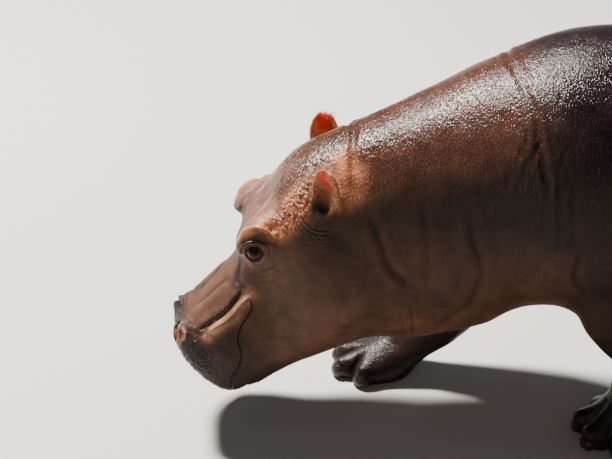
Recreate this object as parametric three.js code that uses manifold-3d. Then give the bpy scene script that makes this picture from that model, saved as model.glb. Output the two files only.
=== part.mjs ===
// A hippopotamus calf of about eight months, life size, walking with its head held low.
// Millimetres, +Z up. It walks towards -X, and its left side faces -Y.
// The trunk, neck and head are one tube of rings, parted by thin cuts, and the rest joins it.
import * as THREE from "three";
import { mergeVertices } from "three/addons/utils/BufferGeometryUtils.js";
import Module from "manifold-3d";

// ---- Driving dimensions ----
const BACK_HEIGHT = 771; // floor to the top of the withers
const BELLY_HEIGHT = 222; // floor to the lowest point of the belly
const TRUNK_WIDTH = 522; // across the belly
const RUMP_X = 1380; // hindmost point of the buttocks, from the crown of the head
const HEAD_LENGTH = 450; // nape to the front of the upper lip, along the head's slope
const HEAD_PITCH = 48; // degrees that the head slopes down from level
const NAPE = new THREE.Vector3(33, 0, 511); // origin of the head's own frame
const EYE_RADIUS = 17;
const EAR_HEIGHT = 84;
const FOOT_WIDTH = 138; // across the toes, without the nails
const NAIL_HEIGHT = 18; // floor to the middle of a nail
const GAP = 0.3; // thin cut between two pieces

// ---- Solids ----
const wasm = await Module();
wasm.setup();

// A closed geometry as a solid that can be joined and cut.
function solid(geometry) {
  const bare = geometry.clone();
  bare.deleteAttribute("normal");
  bare.deleteAttribute("uv");
  const merged = mergeVertices(bare, 1e-3);
  return new wasm.Manifold(
    new wasm.Mesh({
      numProp: 3,
      vertProperties: merged.attributes.position.array,
      triVerts: new Uint32Array(merged.index.array),
    }),
  );
}

const calf = new THREE.Group();

// Adds a solid to the calf as one named piece.
function piece(name, shape, material) {
  const made = shape.getMesh();
  const geometry = new THREE.BufferGeometry();
  geometry.setAttribute("position", new THREE.BufferAttribute(Float32Array.from(made.vertProperties), 3));
  geometry.setIndex(new THREE.BufferAttribute(Uint32Array.from(made.triVerts), 1));
  geometry.computeVertexNormals();
  const mesh = new THREE.Mesh(geometry, material);
  mesh.name = name;
  calf.add(mesh);
}

// ---- Materials ----
const skin = new THREE.MeshStandardMaterial({ color: 0x5b3a30, roughness: 0.45, metalness: 0 });
const earSkin = new THREE.MeshStandardMaterial({ color: 0x9a4a3a, roughness: 0.55, metalness: 0 });
const horn = new THREE.MeshStandardMaterial({ color: 0x2b2422, roughness: 0.4, metalness: 0 });
const eyeball = new THREE.MeshStandardMaterial({ color: 0x1c100b, roughness: 0.08, metalness: 0 });

// ---- The head's own frame: along runs from the nape to the snout, up is away from the jaw ----
const pitch = THREE.MathUtils.degToRad(HEAD_PITCH);
const ALONG = new THREE.Vector3(-Math.cos(pitch), 0, -Math.sin(pitch));
const DORSAL = new THREE.Vector3(-Math.sin(pitch), 0, Math.cos(pitch));

function headPoint(along, up, side = 0) {
  return NAPE.clone().addScaledVector(ALONG, along).addScaledVector(DORSAL, up).setY(side);
}

// ---- Rings of the body tube ----
// A ring stands on the middle plane between its top and bottom points. half is its half width,
// square its corners (2 is an ellipse), and pear how much narrower it is above than below.
const ringBetween = (top, bottom, half, square, pear) => ({ top, bottom, half, square, pear });

// An upright ring of the trunk. Heights and width are shares of the driving dimensions.
function trunkRing(x, top, bottom, width, square = 2.15, pear = 0.06) {
  return ringBetween(
    new THREE.Vector3(x, 0, top * BACK_HEIGHT),
    new THREE.Vector3(x, 0, bottom * BELLY_HEIGHT),
    (width * TRUNK_WIDTH) / 2,
    square,
    pear,
  );
}

// A leaning ring of the neck, from the nape line to the throat line.
function neckRing(topX, topZ, bottomX, bottomZ, half, pear = 0.02) {
  const [top, bottom] = [new THREE.Vector3(topX, 0, topZ), new THREE.Vector3(bottomX, 0, bottomZ)];
  return ringBetween(top, bottom, half, 2.1, pear);
}

// A ring of the head, from the forehead or nose bridge to the underside of the jaw.
function headRing(topAlong, topUp, bottomAlong, bottomUp, half, square, pear) {
  return ringBetween(headPoint(topAlong, topUp), headPoint(bottomAlong, bottomUp), half, square, pear);
}

const RINGS = [
  trunkRing(RUMP_X - 125, 0.93, 1.46, 0.77, 2.15, 0.0),
  trunkRing(RUMP_X - 205, 0.955, 1.3, 0.84),
  trunkRing(RUMP_X - 305, 0.976, 1.13, 0.92),
  trunkRing(RUMP_X - 430, 0.983, 1.0, 0.985),
  trunkRing(RUMP_X - 560, 0.985, 0.97, 1.0),
  trunkRing(RUMP_X - 690, 0.993, 1.02, 0.955),
  trunkRing(RUMP_X - 810, 1.0, 1.07, 0.885, 2.1, 0.02),
  trunkRing(RUMP_X - 920, 0.988, 1.13, 0.82, 2.05, -0.02),
  neckRing(385, 730, 390, 252, 199, -0.04),
  neckRing(300, 700, 335, 208, 186),
  neckRing(200, 650, 285, 193, 172),
  neckRing(112, 612, 232, 180, 158),
  neckRing(45, 585, 180, 172, 149),
  headRing(2, 62, 165, -300, 144, 2.25, 0.02),
  headRing(60, 62, 193, -268, 140, 2.4, 0.04),
  headRing(125, 48, 228, -244, 133, 2.5, 0.12),
  headRing(185, 24, 266, -224, 122, 2.5, 0.22),
  headRing(240, 9, 308, -208, 111, 2.5, 0.22),
  headRing(300, 6, 350, -195, 106, 2.6, 0.16),
  headRing(355, 6, 384, -184, 109, 2.7, 0.08),
  headRing(400, 2, 405, -172, 106, 2.6, 0.04),
];
const LAST = RINGS.length - 1;
const TRUNK_END = 7.5; // ring numbers where the trunk meets the neck, and the neck the head
const NECK_END = 12.5;
const RUMP_CAP = 125; // how far the rounded ends reach past the first and last ring
const SNOUT_CAP = HEAD_LENGTH - 402;

const tops = new THREE.CatmullRomCurve3(RINGS.map((r) => r.top));
const bottoms = new THREE.CatmullRomCurve3(RINGS.map((r) => r.bottom));
const sizes = RINGS.map((r) => new THREE.Vector3(r.half, r.square * 100, r.pear * 100));
const shapes = new THREE.CatmullRomCurve3(sizes);

// ---- Swells: muscle and bone that round out the tube, alike on both sides ----
const swell = (at, reach, height) => ({ at, reach, height });
const SWELLS = [
  swell(new THREE.Vector3(470, 200, 540), 130, 20), // shoulder blade
  swell(new THREE.Vector3(450, 200, 370), 110, 22), // upper arm
  swell(new THREE.Vector3(1180, 180, 560), 160, 20), // haunch
  swell(new THREE.Vector3(1150, 200, 400), 130, 24), // thigh
  swell(new THREE.Vector3(1330, 110, 480), 85, 16), // buttock
  swell(headPoint(135, -150, 128), 85, 16), // jaw angle and cheek
  swell(headPoint(140, 26, 78), 42, 12), // root of the brow
  swell(headPoint(402, 6, 44), 27, 22), // rim of the nostril
  swell(headPoint(270, -22, 100), 30, 12), // fold above the lip
  swell(headPoint(325, -14, 100), 32, 12), // the fold's front half
  swell(headPoint(350, -85, 108), 40, 8), // lip over the lower tusk
  swell(headPoint(235, -80, 108), 46, -9), // hollow behind the lip
];

// Superellipse coordinate of an angle's sine or cosine.
const rounded = (v, square) => Math.sign(v) * Math.abs(v) ** (2 / square);

// The centre, up direction, forward direction and sizes of the tube at a ring number, caps included.
function frameAt(number) {
  const inside = THREE.MathUtils.clamp(number, 0, LAST);
  const top = tops.getPoint(inside / LAST);
  const bottom = bottoms.getPoint(inside / LAST);
  const shape = shapes.getPoint(inside / LAST);
  const centre = top.clone().add(bottom).multiplyScalar(0.5);
  const up = top.clone().sub(bottom);
  const reach = up.length() / 2;
  up.normalize();
  const forward = new THREE.Vector3(0, -1, 0).cross(up);
  const past = Math.abs(number - inside); // 0 on the tube, up to 1 at the tip of a cap
  const blunt = number < 0 ? 2.1 : 2.5;
  const taper = (1 - Math.min(past, 1) ** blunt) ** (1 / blunt);
  centre.addScaledVector(forward, number < 0 ? -RUMP_CAP * past : SNOUT_CAP * past);
  return {
    centre,
    up,
    forward,
    reach: reach * taper,
    half: shape.x * taper,
    square: shape.y / 100,
    pear: shape.z / 100,
  };
}

// A point of the tube's skin, margin outside it.
function tubePoint(frame, angle, margin) {
  const level = rounded(Math.sin(angle), frame.square);
  const side = rounded(Math.cos(angle), frame.square) * (1 - frame.pear * level);
  const point = frame.centre.clone().addScaledVector(frame.up, level * (frame.reach + margin));
  point.y = -side * (frame.half + margin);
  const outward = point.clone().sub(frame.centre).normalize();
  for (const { at, reach, height } of SWELLS) {
    const distance = Math.hypot(point.x - at.x, Math.abs(point.y) - at.y, point.z - at.z);
    point.addScaledVector(outward, height * Math.exp(-((distance / reach) ** 2)));
  }
  return point;
}

// A closed geometry from rows of points, each row a loop. The ends are closed by fans, or, for a
// row that runs out along one side of a thin sheet and back along the other, by strips.
function loft(rows, strips = false) {
  const sides = rows[0].length;
  const corners = rows.flat().flatMap((p) => [p.x, p.y, p.z]);
  const faces = [];
  for (let row = 0; row < rows.length - 1; row++) {
    for (let k = 0; k < sides; k++) {
      const here = row * sides + k;
      const next = row * sides + ((k + 1) % sides);
      faces.push(here, next, next + sides, here, next + sides, here + sides);
    }
  }
  const last = (rows.length - 1) * sides;
  if (strips) {
    for (let k = 0; k < sides / 2 - 1; k++) {
      const back = sides - 1 - k;
      faces.push(k, back, back - 1, k, back - 1, k + 1);
      faces.push(last + k, last + back - 1, last + back, last + k, last + k + 1, last + back - 1);
    }
  } else {
    const middle = (row) => row.reduce((sum, p) => sum.add(p), new THREE.Vector3()).divideScalar(sides);
    const first = rows.length * sides;
    corners.push(...middle(rows[0]).toArray(), ...middle(rows.at(-1)).toArray());
    for (let k = 0; k < sides; k++) {
      const next = (k + 1) % sides;
      faces.push(first, next, k, first + 1, last + k, last + next);
    }
  }
  const geometry = new THREE.BufferGeometry();
  geometry.setAttribute("position", new THREE.Float32BufferAttribute(corners, 3));
  geometry.setIndex(faces);
  return geometry;
}

// Ring numbers from one place on the tube to another, closer together towards the tip of a cap.
function numbers(from, to, count) {
  return Array.from({ length: count + 1 }, (_, k) => from + ((to - from) * k) / count);
}
const TIP = 0.985; // the cap's last ring, as a share of the cap
const capNumbers = (count) => numbers(0, Math.PI / 2, count).slice(1).map((turn) => Math.sin(turn) * TIP);

// The tube between ring numbers, pulled back by the thin cut at an end that meets a neighbour.
function tube(at, sides, { margin = 0, cutBack = 0, cutFront = 0 } = {}) {
  const rows = at.map((number, i) => {
    const frame = frameAt(number);
    if (i === 0) frame.centre.addScaledVector(frame.forward, cutBack);
    if (i === at.length - 1) frame.centre.addScaledVector(frame.forward, -cutFront);
    const angles = numbers(0.5, sides - 0.5, sides - 1).map((k) => (k / sides) * 2 * Math.PI);
    return angles.map((angle) => tubePoint(frame, angle, margin));
  });
  return loft(rows);
}

// ---- Rounded lumps ----
// An ellipsoid with its long axis turned along a direction.
function lump(centre, radii, along = ALONG, across = 14, rings = 9) {
  const geometry = new THREE.SphereGeometry(1, across, rings);
  geometry.rotateZ(-Math.PI / 2); // poles on the long axis
  geometry.scale(...radii);
  geometry.applyQuaternion(new THREE.Quaternion().setFromUnitVectors(new THREE.Vector3(1, 0, 0), along));
  geometry.translate(...centre.toArray());
  return geometry;
}
const both = [["left", -1], ["right", 1]];

// ---- Trunk, neck and head ----
const TUBE_SIDES = 36;
const trunkNumbers = [...capNumbers(4).reverse().map((n) => -n), ...numbers(0, TRUNK_END, 11)];
const neckNumbers = numbers(TRUNK_END, NECK_END, 7);
const headNumbers = [...numbers(NECK_END, LAST, 18), ...capNumbers(5).map((n) => LAST + n)];
piece("trunk", solid(tube(trunkNumbers, TUBE_SIDES)), skin);
piece("neck", solid(tube(neckNumbers, TUBE_SIDES, { cutBack: GAP })), skin);

// The whole tube and the thin gap around it, to be cut away from everything that joins it.
const tubeRoom = solid(
  tube([...trunkNumbers, ...neckNumbers.slice(1), ...headNumbers.slice(1)], TUBE_SIDES, { margin: GAP }),
);

const eyeBall = (side, grow) =>
  solid(lump(headPoint(163, 28, side * 92), Array(3).fill(EYE_RADIUS + grow), ALONG, 12, 8));
let head = solid(tube(headNumbers, TUBE_SIDES, { cutBack: GAP }));
for (const [, side] of both) {
  const inward = headPoint(0, 0).sub(headPoint(60, 30)).normalize();
  head = head
    .add(solid(lump(headPoint(147, 34, side * 73), [40, 32, 34], ALONG, 10, 8))) // brow over the eye
    .subtract(solid(lump(headPoint(428, 8, side * 42), [16, 7, 7], inward, 8, 6)))
    .subtract(eyeBall(side, GAP));
}

// ---- Lower jaw: the wedge under the mouth line, from its corner to the lips ----
const MOUTH_CORNER = [236, -28]; // along and up
const LIP_MEETING = [500, -183];
const CHIN_BACK = [262, -300];
function jawWedge(grow) {
  const outline = new THREE.Shape([
    new THREE.Vector2(MOUTH_CORNER[0] - grow, MOUTH_CORNER[1] + grow),
    new THREE.Vector2(LIP_MEETING[0], LIP_MEETING[1] + grow),
    new THREE.Vector2(LIP_MEETING[0], CHIN_BACK[1]),
    new THREE.Vector2(CHIN_BACK[0] - grow, CHIN_BACK[1]),
  ]);
  const wedge = new THREE.ExtrudeGeometry(outline, { depth: 400, bevelEnabled: false });
  wedge.translate(0, 0, -200);
  const basis = new THREE.Matrix4().makeBasis(ALONG, DORSAL, ALONG.clone().cross(DORSAL));
  wedge.applyMatrix4(basis.setPosition(NAPE));
  return solid(wedge);
}
const lowerJaw = head.intersect(jawWedge(0));
head = head.subtract(jawWedge(GAP));
piece("head", head, skin);
piece("lower_jaw", lowerJaw, skin);

for (const [name, side] of both) piece(`eye_${name}`, eyeBall(side, 0), eyeball);

// ---- Ears: thin cups that stand up from the back of the head and open the way they face ----
// Each row of the cup: its share of the height, its half width, its depth and its half opening.
const EAR_ROWS = [
  [-0.22, 19, 17, 150],
  [0.02, 21, 19, 140],
  [0.2, 25, 21, 122],
  [0.42, 29, 21, 106],
  [0.62, 30, 18, 98],
  [0.8, 26, 14, 92],
  [0.93, 18, 10, 90],
  [1, 10, 7, 88],
];
const EAR_SKIN = 5; // thickness of the cup's wall

function ear({ base, lean, facing }) {
  const up = lean.clone().normalize();
  const aside = up.clone().cross(facing).normalize();
  const ahead = aside.clone().cross(up);
  const rows = EAR_ROWS.map(([share, width, depth, open]) => {
    const arc = (inset) =>
      Array.from({ length: 8 }, (_, k) => {
        const angle = THREE.MathUtils.degToRad(open) * ((2 * k) / 7 - 1);
        return base
          .clone()
          .addScaledVector(up, share * EAR_HEIGHT - inset * 0.2)
          .addScaledVector(ahead, -Math.cos(angle) * (depth - inset))
          .addScaledVector(aside, Math.sin(angle) * (width - inset));
      });
    return [...arc(EAR_SKIN), ...arc(0).reverse()];
  });
  return solid(loft(rows, true)).subtract(tubeRoom);
}
const EARS = {
  left: {
    base: new THREE.Vector3(27, -103, 492),
    lean: new THREE.Vector3(-0.02, -0.16, 1),
    facing: new THREE.Vector3(-0.75, -0.66, 0),
  },
  right: {
    base: new THREE.Vector3(40, 103, 494),
    lean: new THREE.Vector3(0.02, 0.16, 1),
    facing: new THREE.Vector3(-0.5, -0.86, 0),
  },
};
for (const [name, placing] of Object.entries(EARS)) piece(`ear_${name}`, ear(placing), earSkin);

// ---- Legs ----
// A limb runs through its joints from inside the trunk to the wrist or hock. Each joint has its
// place and the limb's half sizes there, fore-and-aft and sideways. Its last ring lies level.
const joint = (x, y, z, aft, side) => ({
  at: new THREE.Vector3(x, y, z),
  size: new THREE.Vector3(aft, side, 0),
});
const LEG_SIDES = 14;

function limb(joints, from, to, count, gap = 0) {
  const path = new THREE.CatmullRomCurve3(joints.map((j) => j.at));
  const size = new THREE.CatmullRomCurve3(joints.map((j) => j.size));
  const rows = numbers(from, to, count).map((t, i) => {
    const down = path.getTangent(t).setY(0).normalize();
    const centre = path.getPoint(t).addScaledVector(down, i === 0 ? gap : 0);
    const levelled = THREE.MathUtils.smoothstep(t, 0.72, 1);
    down.lerp(new THREE.Vector3(0, 0, -1), levelled).normalize();
    const aft = new THREE.Vector3(0, 1, 0).cross(down);
    const { x: depth, y: width } = size.getPoint(t);
    return Array.from({ length: LEG_SIDES }, (_, k) => {
      const angle = (k / LEG_SIDES) * 2 * Math.PI;
      return centre
        .clone()
        .addScaledVector(aft, Math.cos(angle) * depth)
        .add(new THREE.Vector3(0, Math.sin(angle) * width, 0));
    });
  });
  return solid(loft(rows));
}

// A foot spreads from the wrist to four toes and a flat sole. Each row of its outline has its
// height, how far forward it sits, its half sizes and how far the toes stand out of it.
const TOES = [
  { name: "outer", angle: -66, reach: 0.86 },
  { name: "outer_middle", angle: -23, reach: 1 },
  { name: "inner_middle", angle: 23, reach: 1 },
  { name: "inner", angle: 66, reach: 0.86 },
];
const FOOT_SIDES = 26;

function foot(name, wrist, sole) {
  const { at, size } = wrist;
  const turn = THREE.MathUtils.degToRad(sole.heading);
  const ahead = new THREE.Vector3(-Math.cos(turn), Math.sin(turn), 0);
  const aside = new THREE.Vector3(Math.sin(turn), Math.cos(turn), 0);
  const place = (share, forward, side) =>
    at
      .clone()
      .lerp(sole.at, 1 - share ** 1.8)
      .setZ(at.z * share)
      .addScaledVector(ahead, forward)
      .addScaledVector(aside, side);
  const wide = FOOT_WIDTH / 2;
  const outline = [
    { share: 1 - GAP / at.z, depth: size.x, width: size.y, toes: 0 },
    { share: 0.64, depth: (size.x + wide * 1.1) / 2, width: wide * 0.8, toes: 4 },
    { share: 0.36, depth: wide * 1.12, width: wide * 0.88, toes: 14 },
    { share: 0.16, depth: wide * 1.12, width: wide * 0.9, toes: 20 },
    { share: 0.04, depth: wide * 1.08, width: wide * 0.87, toes: 15 },
    { share: 0, depth: wide * 1.0, width: wide * 0.82, toes: 9 },
  ];
  const toe = (degrees) =>
    Math.max(...TOES.map((t) => t.reach * Math.exp(-(((degrees - t.angle) / 17) ** 2))));
  const body = (margin) =>
    solid(
      loft(
        outline.map(({ share, depth, width, toes }) =>
          Array.from({ length: FOOT_SIDES }, (_, k) => {
            const part = k / FOOT_SIDES - 0.5;
            const degrees = 360 * part * (0.62 + 1.52 * part * part);
            const angle = THREE.MathUtils.degToRad(degrees);
            const out = toes * toe(degrees) + margin;
            return place(share, (depth + out) * Math.cos(angle), (width + out) * Math.sin(angle));
          }),
        ),
      ),
    );
  piece(name, body(0), skin);
  const room = body(GAP);
  for (const t of TOES) {
    const angle = THREE.MathUtils.degToRad(t.angle);
    const level = NAIL_HEIGHT / at.z;
    const centre = place(
      level,
      (wide * 1.12 + 17 * t.reach) * Math.cos(angle),
      (wide * 0.9 + 17 * t.reach) * Math.sin(angle),
    );
    const outward = place(level, 200 * Math.cos(angle), 200 * Math.sin(angle)).sub(place(level, 0, 0));
    const nail = solid(lump(centre, [13, 17, 14], outward.setZ(-45).normalize(), 6, 5));
    piece(`${name}_nail_${t.name}`, nail.subtract(room), horn);
  }
}

function leg(name, joints, split, sole) {
  piece(`${name}_upper`, limb(joints, 0, split, 4).subtract(tubeRoom), skin);
  piece(`${name}_lower`, limb(joints, split, 1, 4, GAP).subtract(tubeRoom), skin);
  foot(`${name}_foot`, joints.at(-1), sole);
}
const sole = (x, y, heading) => ({ at: new THREE.Vector3(x, y, 0), heading });

leg(
  "fore_right",
  [
    joint(440, 105, 480, 95, 60),
    joint(450, 118, 350, 85, 62),
    joint(402, 122, 240, 70, 58),
    joint(316, 118, 152, 56, 53),
    joint(243, 112, 80, 74, 50),
  ],
  0.5,
  sole(150, 112, 6),
);
leg(
  "fore_left",
  [
    joint(500, -120, 480, 90, 60),
    joint(530, -132, 370, 80, 62),
    joint(568, -140, 275, 72, 57),
    joint(617, -142, 190, 56, 50),
    joint(619, -142, 98, 52, 47),
  ],
  0.5,
  sole(600, -144, -6),
);
leg(
  "hind_left",
  [
    joint(1180, -105, 520, 130, 90),
    joint(1122, -142, 400, 116, 100),
    joint(1052, -140, 288, 90, 74),
    joint(1050, -132, 180, 60, 53),
    joint(1028, -128, 98, 54, 48),
  ],
  0.5,
  sole(990, -130, -8),
);
leg(
  "hind_right",
  [
    joint(1200, 105, 520, 130, 90),
    joint(1195, 142, 400, 116, 100),
    joint(1205, 140, 295, 92, 74),
    joint(1285, 132, 190, 60, 53),
    joint(1310, 128, 98, 56, 48),
  ],
  0.5,
  sole(1272, 130, 8),
);

// ---- Tail: short and flat, hanging close to the buttocks ----
// Each row's distance behind the rump, height, half width, half depth and lean.
const tailRows = [
  [-60, 612, 30, 24, 1.1],
  [-22, 590, 28, 21, 0.9],
  [4, 548, 24, 16, 0.3],
  [16, 495, 20, 12, 0.1],
  [20, 445, 17, 9, 0],
  [20, 408, 15, 7, 0],
  [18, 390, 7, 4, 0],
].map(([behind, z, width, depth, lean]) =>
  Array.from({ length: 12 }, (_, k) => {
    const angle = (k / 12) * 2 * Math.PI;
    const aft = Math.cos(angle) * depth;
    return new THREE.Vector3(
      RUMP_X + behind + aft * Math.cos(lean),
      -Math.sin(angle) * width,
      z + aft * Math.sin(lean),
    );
  }),
);
piece("tail", solid(loft(tailRows)).subtract(tubeRoom), skin);

// ---- The floor is level zero and the calf stands over the middle of its own outline ----
const box = new THREE.Box3().setFromObject(calf);
const middle = box.getCenter(new THREE.Vector3()).setZ(box.min.z);
for (const mesh of calf.children) mesh.geometry.translate(-middle.x, -middle.y, -middle.z);

export default calf;
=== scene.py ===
"""A hippopotamus calf: its skin, eyes, toenails and bristles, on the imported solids."""

import math

import bpy
import numpy as np
from mathutils import Matrix, Vector, noise
from mathutils.bvhtree import BVHTree


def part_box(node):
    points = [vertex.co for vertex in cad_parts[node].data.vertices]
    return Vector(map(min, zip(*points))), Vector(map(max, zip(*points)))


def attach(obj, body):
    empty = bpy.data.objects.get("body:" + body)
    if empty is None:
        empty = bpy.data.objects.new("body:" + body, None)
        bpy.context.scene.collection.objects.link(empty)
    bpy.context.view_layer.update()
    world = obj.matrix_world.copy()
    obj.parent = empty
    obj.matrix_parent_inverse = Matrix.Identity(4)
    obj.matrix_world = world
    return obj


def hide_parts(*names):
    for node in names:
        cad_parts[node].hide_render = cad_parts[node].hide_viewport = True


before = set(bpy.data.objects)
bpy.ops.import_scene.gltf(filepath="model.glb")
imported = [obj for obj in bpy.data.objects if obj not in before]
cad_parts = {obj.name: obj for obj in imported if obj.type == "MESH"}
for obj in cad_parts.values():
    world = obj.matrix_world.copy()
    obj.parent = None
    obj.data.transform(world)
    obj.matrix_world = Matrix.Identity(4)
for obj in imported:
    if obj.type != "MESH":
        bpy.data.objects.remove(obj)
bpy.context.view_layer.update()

SIDES = {"left": -1.0, "right": 1.0}
TOES = ("outer", "outer_middle", "inner_middle", "inner")
LEGS = ("fore_left", "fore_right", "hind_left", "hind_right")
FLESH = ["trunk", "neck", "head", "lower_jaw", "ear_left", "ear_right", "tail"]
FLESH += [f"{leg}_{part}" for leg in LEGS for part in ("upper", "lower", "foot")]

# The head's own directions: along runs from the nape to the snout, up is away from the jaw.
NAPE = np.array([-0.545, 0.0, 0.511])
ALONG = np.array([-0.6691, 0.0, -0.7431])
UP = np.array([-0.7431, 0.0, 0.6691])
EYE_RADIUS = 0.017
CORNEA = 0.0013  # how far it stands out of the ball
NAIL_HALF_WIDTH = 0.0168
NAIL_SOLE = 0.0015  # the nails' lowest level over the floor
HAIR_SIDES = 3
HAIR_JOINTS = 4
NEVER_NONE = 1e-12  # added to the chances, so that their sum is never nought
EYE_SPOT = (163, 28, 92)  # the ball's centre: along, up and to the side, in millimetres


def head_point(along, up, side=0.0):
    """A point given in the head's own directions, in millimetres, in the row frame."""
    point = NAPE + ALONG * along / 1000 + UP * up / 1000
    return point + np.array([0.0, side / 1000, 0.0])


def in_head(co):
    """How far points lie along the head, above its axis and off the middle plane, in millimetres."""
    local = co - NAPE
    return local @ ALONG * 1000, local @ UP * 1000, np.abs(co[:, 1]) * 1000


def eye_spot(side):
    along, up, off = EYE_SPOT
    return head_point(along, up, off * side)


def box_of(node):
    """A solid's low and high corners, and its middle."""
    low, high = (np.array(corner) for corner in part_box(node))
    return low, high, (low + high) / 2


# Where each eye sits and where it looks.
EYES = {
    name: (Vector(eye_spot(side)), Vector((-0.34, 0.92 * side, 0.12)).normalized())
    for name, side in SIDES.items()
}


# ---- Meshes ----
def deselect():
    if bpy.context.object and bpy.context.object.mode != "OBJECT":
        bpy.ops.object.mode_set(mode="OBJECT")
    bpy.ops.object.select_all(action="DESELECT")


def pick(obj):
    deselect()
    obj.select_set(True)
    bpy.context.view_layer.objects.active = obj


def read(items, field, width=1, kind=np.float32):
    """One field of all of a mesh's items, as rows of an array."""
    values = np.empty(len(items) * width, kind)
    items.foreach_get(field, values)
    return values if width == 1 else values.reshape(-1, width)


def places(obj):
    return read(obj.data.vertices, "co", 3).astype(np.float64)


def normals_of(obj):
    return read(obj.data.vertex_normals, "vector", 3).astype(np.float64)


def edges_of(obj):
    return read(obj.data.edges, "vertices", 2, np.int32)


def corner_points(obj):
    """The number of the point at each corner of each face."""
    return read(obj.data.loops, "vertex_index", 1, np.int32)


def place(obj, co):
    obj.data.vertices.foreach_set("co", co.astype(np.float32).ravel())
    obj.data.update()


def shade_smooth(obj):
    obj.data.polygons.foreach_set("use_smooth", np.ones(len(obj.data.polygons), bool))


def point_colours(obj, name, values):
    """Stores one colour for each point under a name that materials can read."""
    full = np.ones((len(values), 4), np.float32)
    full[:, :3] = values
    layer = obj.data.color_attributes.new(name=name, type="FLOAT_COLOR", domain="POINT")
    layer.data.foreach_set("color", full.ravel())


def modify(obj, kind, **settings):
    pick(obj)
    modifier = obj.modifiers.new(kind.title(), kind)
    for name, value in settings.items():
        setattr(modifier, name, value)
    bpy.ops.object.modifier_apply(modifier=modifier.name)


def edit(obj, *edits):
    """Runs mesh operators, each with its settings, on all of an object."""
    pick(obj)
    bpy.ops.object.mode_set(mode="EDIT")
    for operator, settings in edits:
        bpy.ops.mesh.select_all(action="SELECT")
        operator(**settings)
    bpy.ops.object.mode_set(mode="OBJECT")


def join(parts, into):
    deselect()
    for part in parts:
        part.select_set(True)
    bpy.context.view_layer.objects.active = into
    bpy.ops.object.join()
    return bpy.context.object


def copy_of(node):
    """A loose copy of a solid, to model on."""
    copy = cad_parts[node].copy()
    copy.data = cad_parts[node].data.copy()
    copy.parent = None
    bpy.context.scene.collection.objects.link(copy)
    for key in list(copy.keys()):
        del copy[key]
    return copy


def step(value, low, high):
    """0 at low, 1 at high and a soft slope between them."""
    t = np.clip((value - low) / (high - low), 0.0, 1.0)
    return t * t * (3 - 2 * t)


def near(co, centre, reach):
    """1 at the centre, falling softly to nothing about two reaches away."""
    return np.exp(-(((co - centre) ** 2).sum(1)) / reach**2)


def bell(value, width):
    """1 where the value is 0, falling softly on both sides."""
    return np.exp(-((value / width) ** 2))


def weigh(obj, name, weights):
    """A vertex group with its own weight at every point."""
    group = obj.vertex_groups.new(name=name)
    levels = np.round(weights * 500).astype(int)
    for level in np.unique(levels):
        group.add(np.nonzero(levels == level)[0].tolist(), level / 500, "REPLACE")
    return group.name


def relax(obj, amount, times):
    """Moves each point towards the middle of its neighbours by its own amount, again and again."""
    group = weigh(obj, "relax", amount)
    modify(obj, "SMOOTH", factor=2.0, iterations=times, vertex_group=group)
    obj.vertex_groups.remove(obj.vertex_groups[group])


# ---- The skin's first form: the flesh nodes joined and smoothed ----
VOXEL = 0.0036
WELD = 0.00002  # points closer than this are one
LID_THICKNESS = 0.0052


def lid_shell(side):
    """A thick eyelid ring round one eye, open where the eye looks out."""
    centre, gaze = EYES[side]
    turn = gaze.to_track_quat("Z", "Y").to_matrix().to_4x4()
    deselect()
    bpy.ops.mesh.primitive_uv_sphere_add(segments=48, ring_count=36, radius=EYE_RADIUS + 0.0045)
    lid = bpy.context.object
    for height, way in ((0.0112, 1), (-0.012, -1)):
        plane = {"plane_co": (0, 0, height), "plane_no": (0, 0, way)}
        edit(lid, (bpy.ops.mesh.bisect, {**plane, "clear_outer": True, "use_fill": False}))
    modify(lid, "SOLIDIFY", thickness=LID_THICKNESS, offset=-1.0, use_even_offset=True)
    lid.data.transform(Matrix.Translation(centre) @ turn)
    return lid


def flesh():
    copies = [lid_shell(side) for side in SIDES] + [copy_of(name) for name in FLESH]
    skin = join(copies, copies[-1])
    skin.name = skin.data.name = "skin"
    skin.data.materials.clear()
    edit(skin, (bpy.ops.mesh.remove_doubles, {"threshold": WELD}))
    modify(skin, "DISPLACE", strength=0.0005, mid_level=0.0)
    modify(skin, "REMESH", mode="VOXEL", voxel_size=VOXEL)
    return skin


def softness(co):
    """How far each point may be smoothed, in metres: much on the trunk, little on the small forms."""
    head = (co - NAPE) @ ALONG
    wide = 0.030 - 0.010 * step(co[:, 0], -0.10, -0.35)
    wide += (0.010 - wide) * step(head, -0.04, 0.05) * step(co[:, 0], -0.36, -0.42)
    legs = step(co[:, 2], 0.30, 0.20) * step(co[:, 0], -0.5, -0.45)
    wide += (0.013 - wide) * legs
    wide += (0.005 - wide) * step(co[:, 2], 0.11, 0.07) * step(co[:, 0], -0.62, -0.58)
    tail = step(co[:, 0], 0.775, 0.80) * step(np.abs(co[:, 1]), 0.05, 0.035)
    wide += (0.004 - wide) * tail
    for side in SIDES.values():
        for spot, reach, fine in (
            (eye_spot(side), 0.034, 0.002),
            (head_point(147, 34, 73 * side), 0.040, 0.006),
            (head_point(418, 8, 42 * side), 0.024, 0.002),
            (np.array([-0.555, side * 0.115, 0.545]), 0.050, 0.0025),
            (np.array([-0.555, side * 0.110, 0.500]), 0.032, 0.003),
        ):
            share = step(((co - spot) ** 2).sum(1) ** 0.5, reach * 1.3, reach * 0.8)
            wide += (fine - wide) * share
    return wide


def smooth(skin, times=150):
    """Rounds off the facets, and gives back the thickness that plain smoothing would take."""
    amount = np.minimum(2 * softness(places(skin)) ** 2 / (times * VOXEL**2), 0.9)
    relax(skin, amount, times)
    once = places(skin)
    relax(skin, amount, times)
    place(skin, 2 * once - places(skin))


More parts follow.
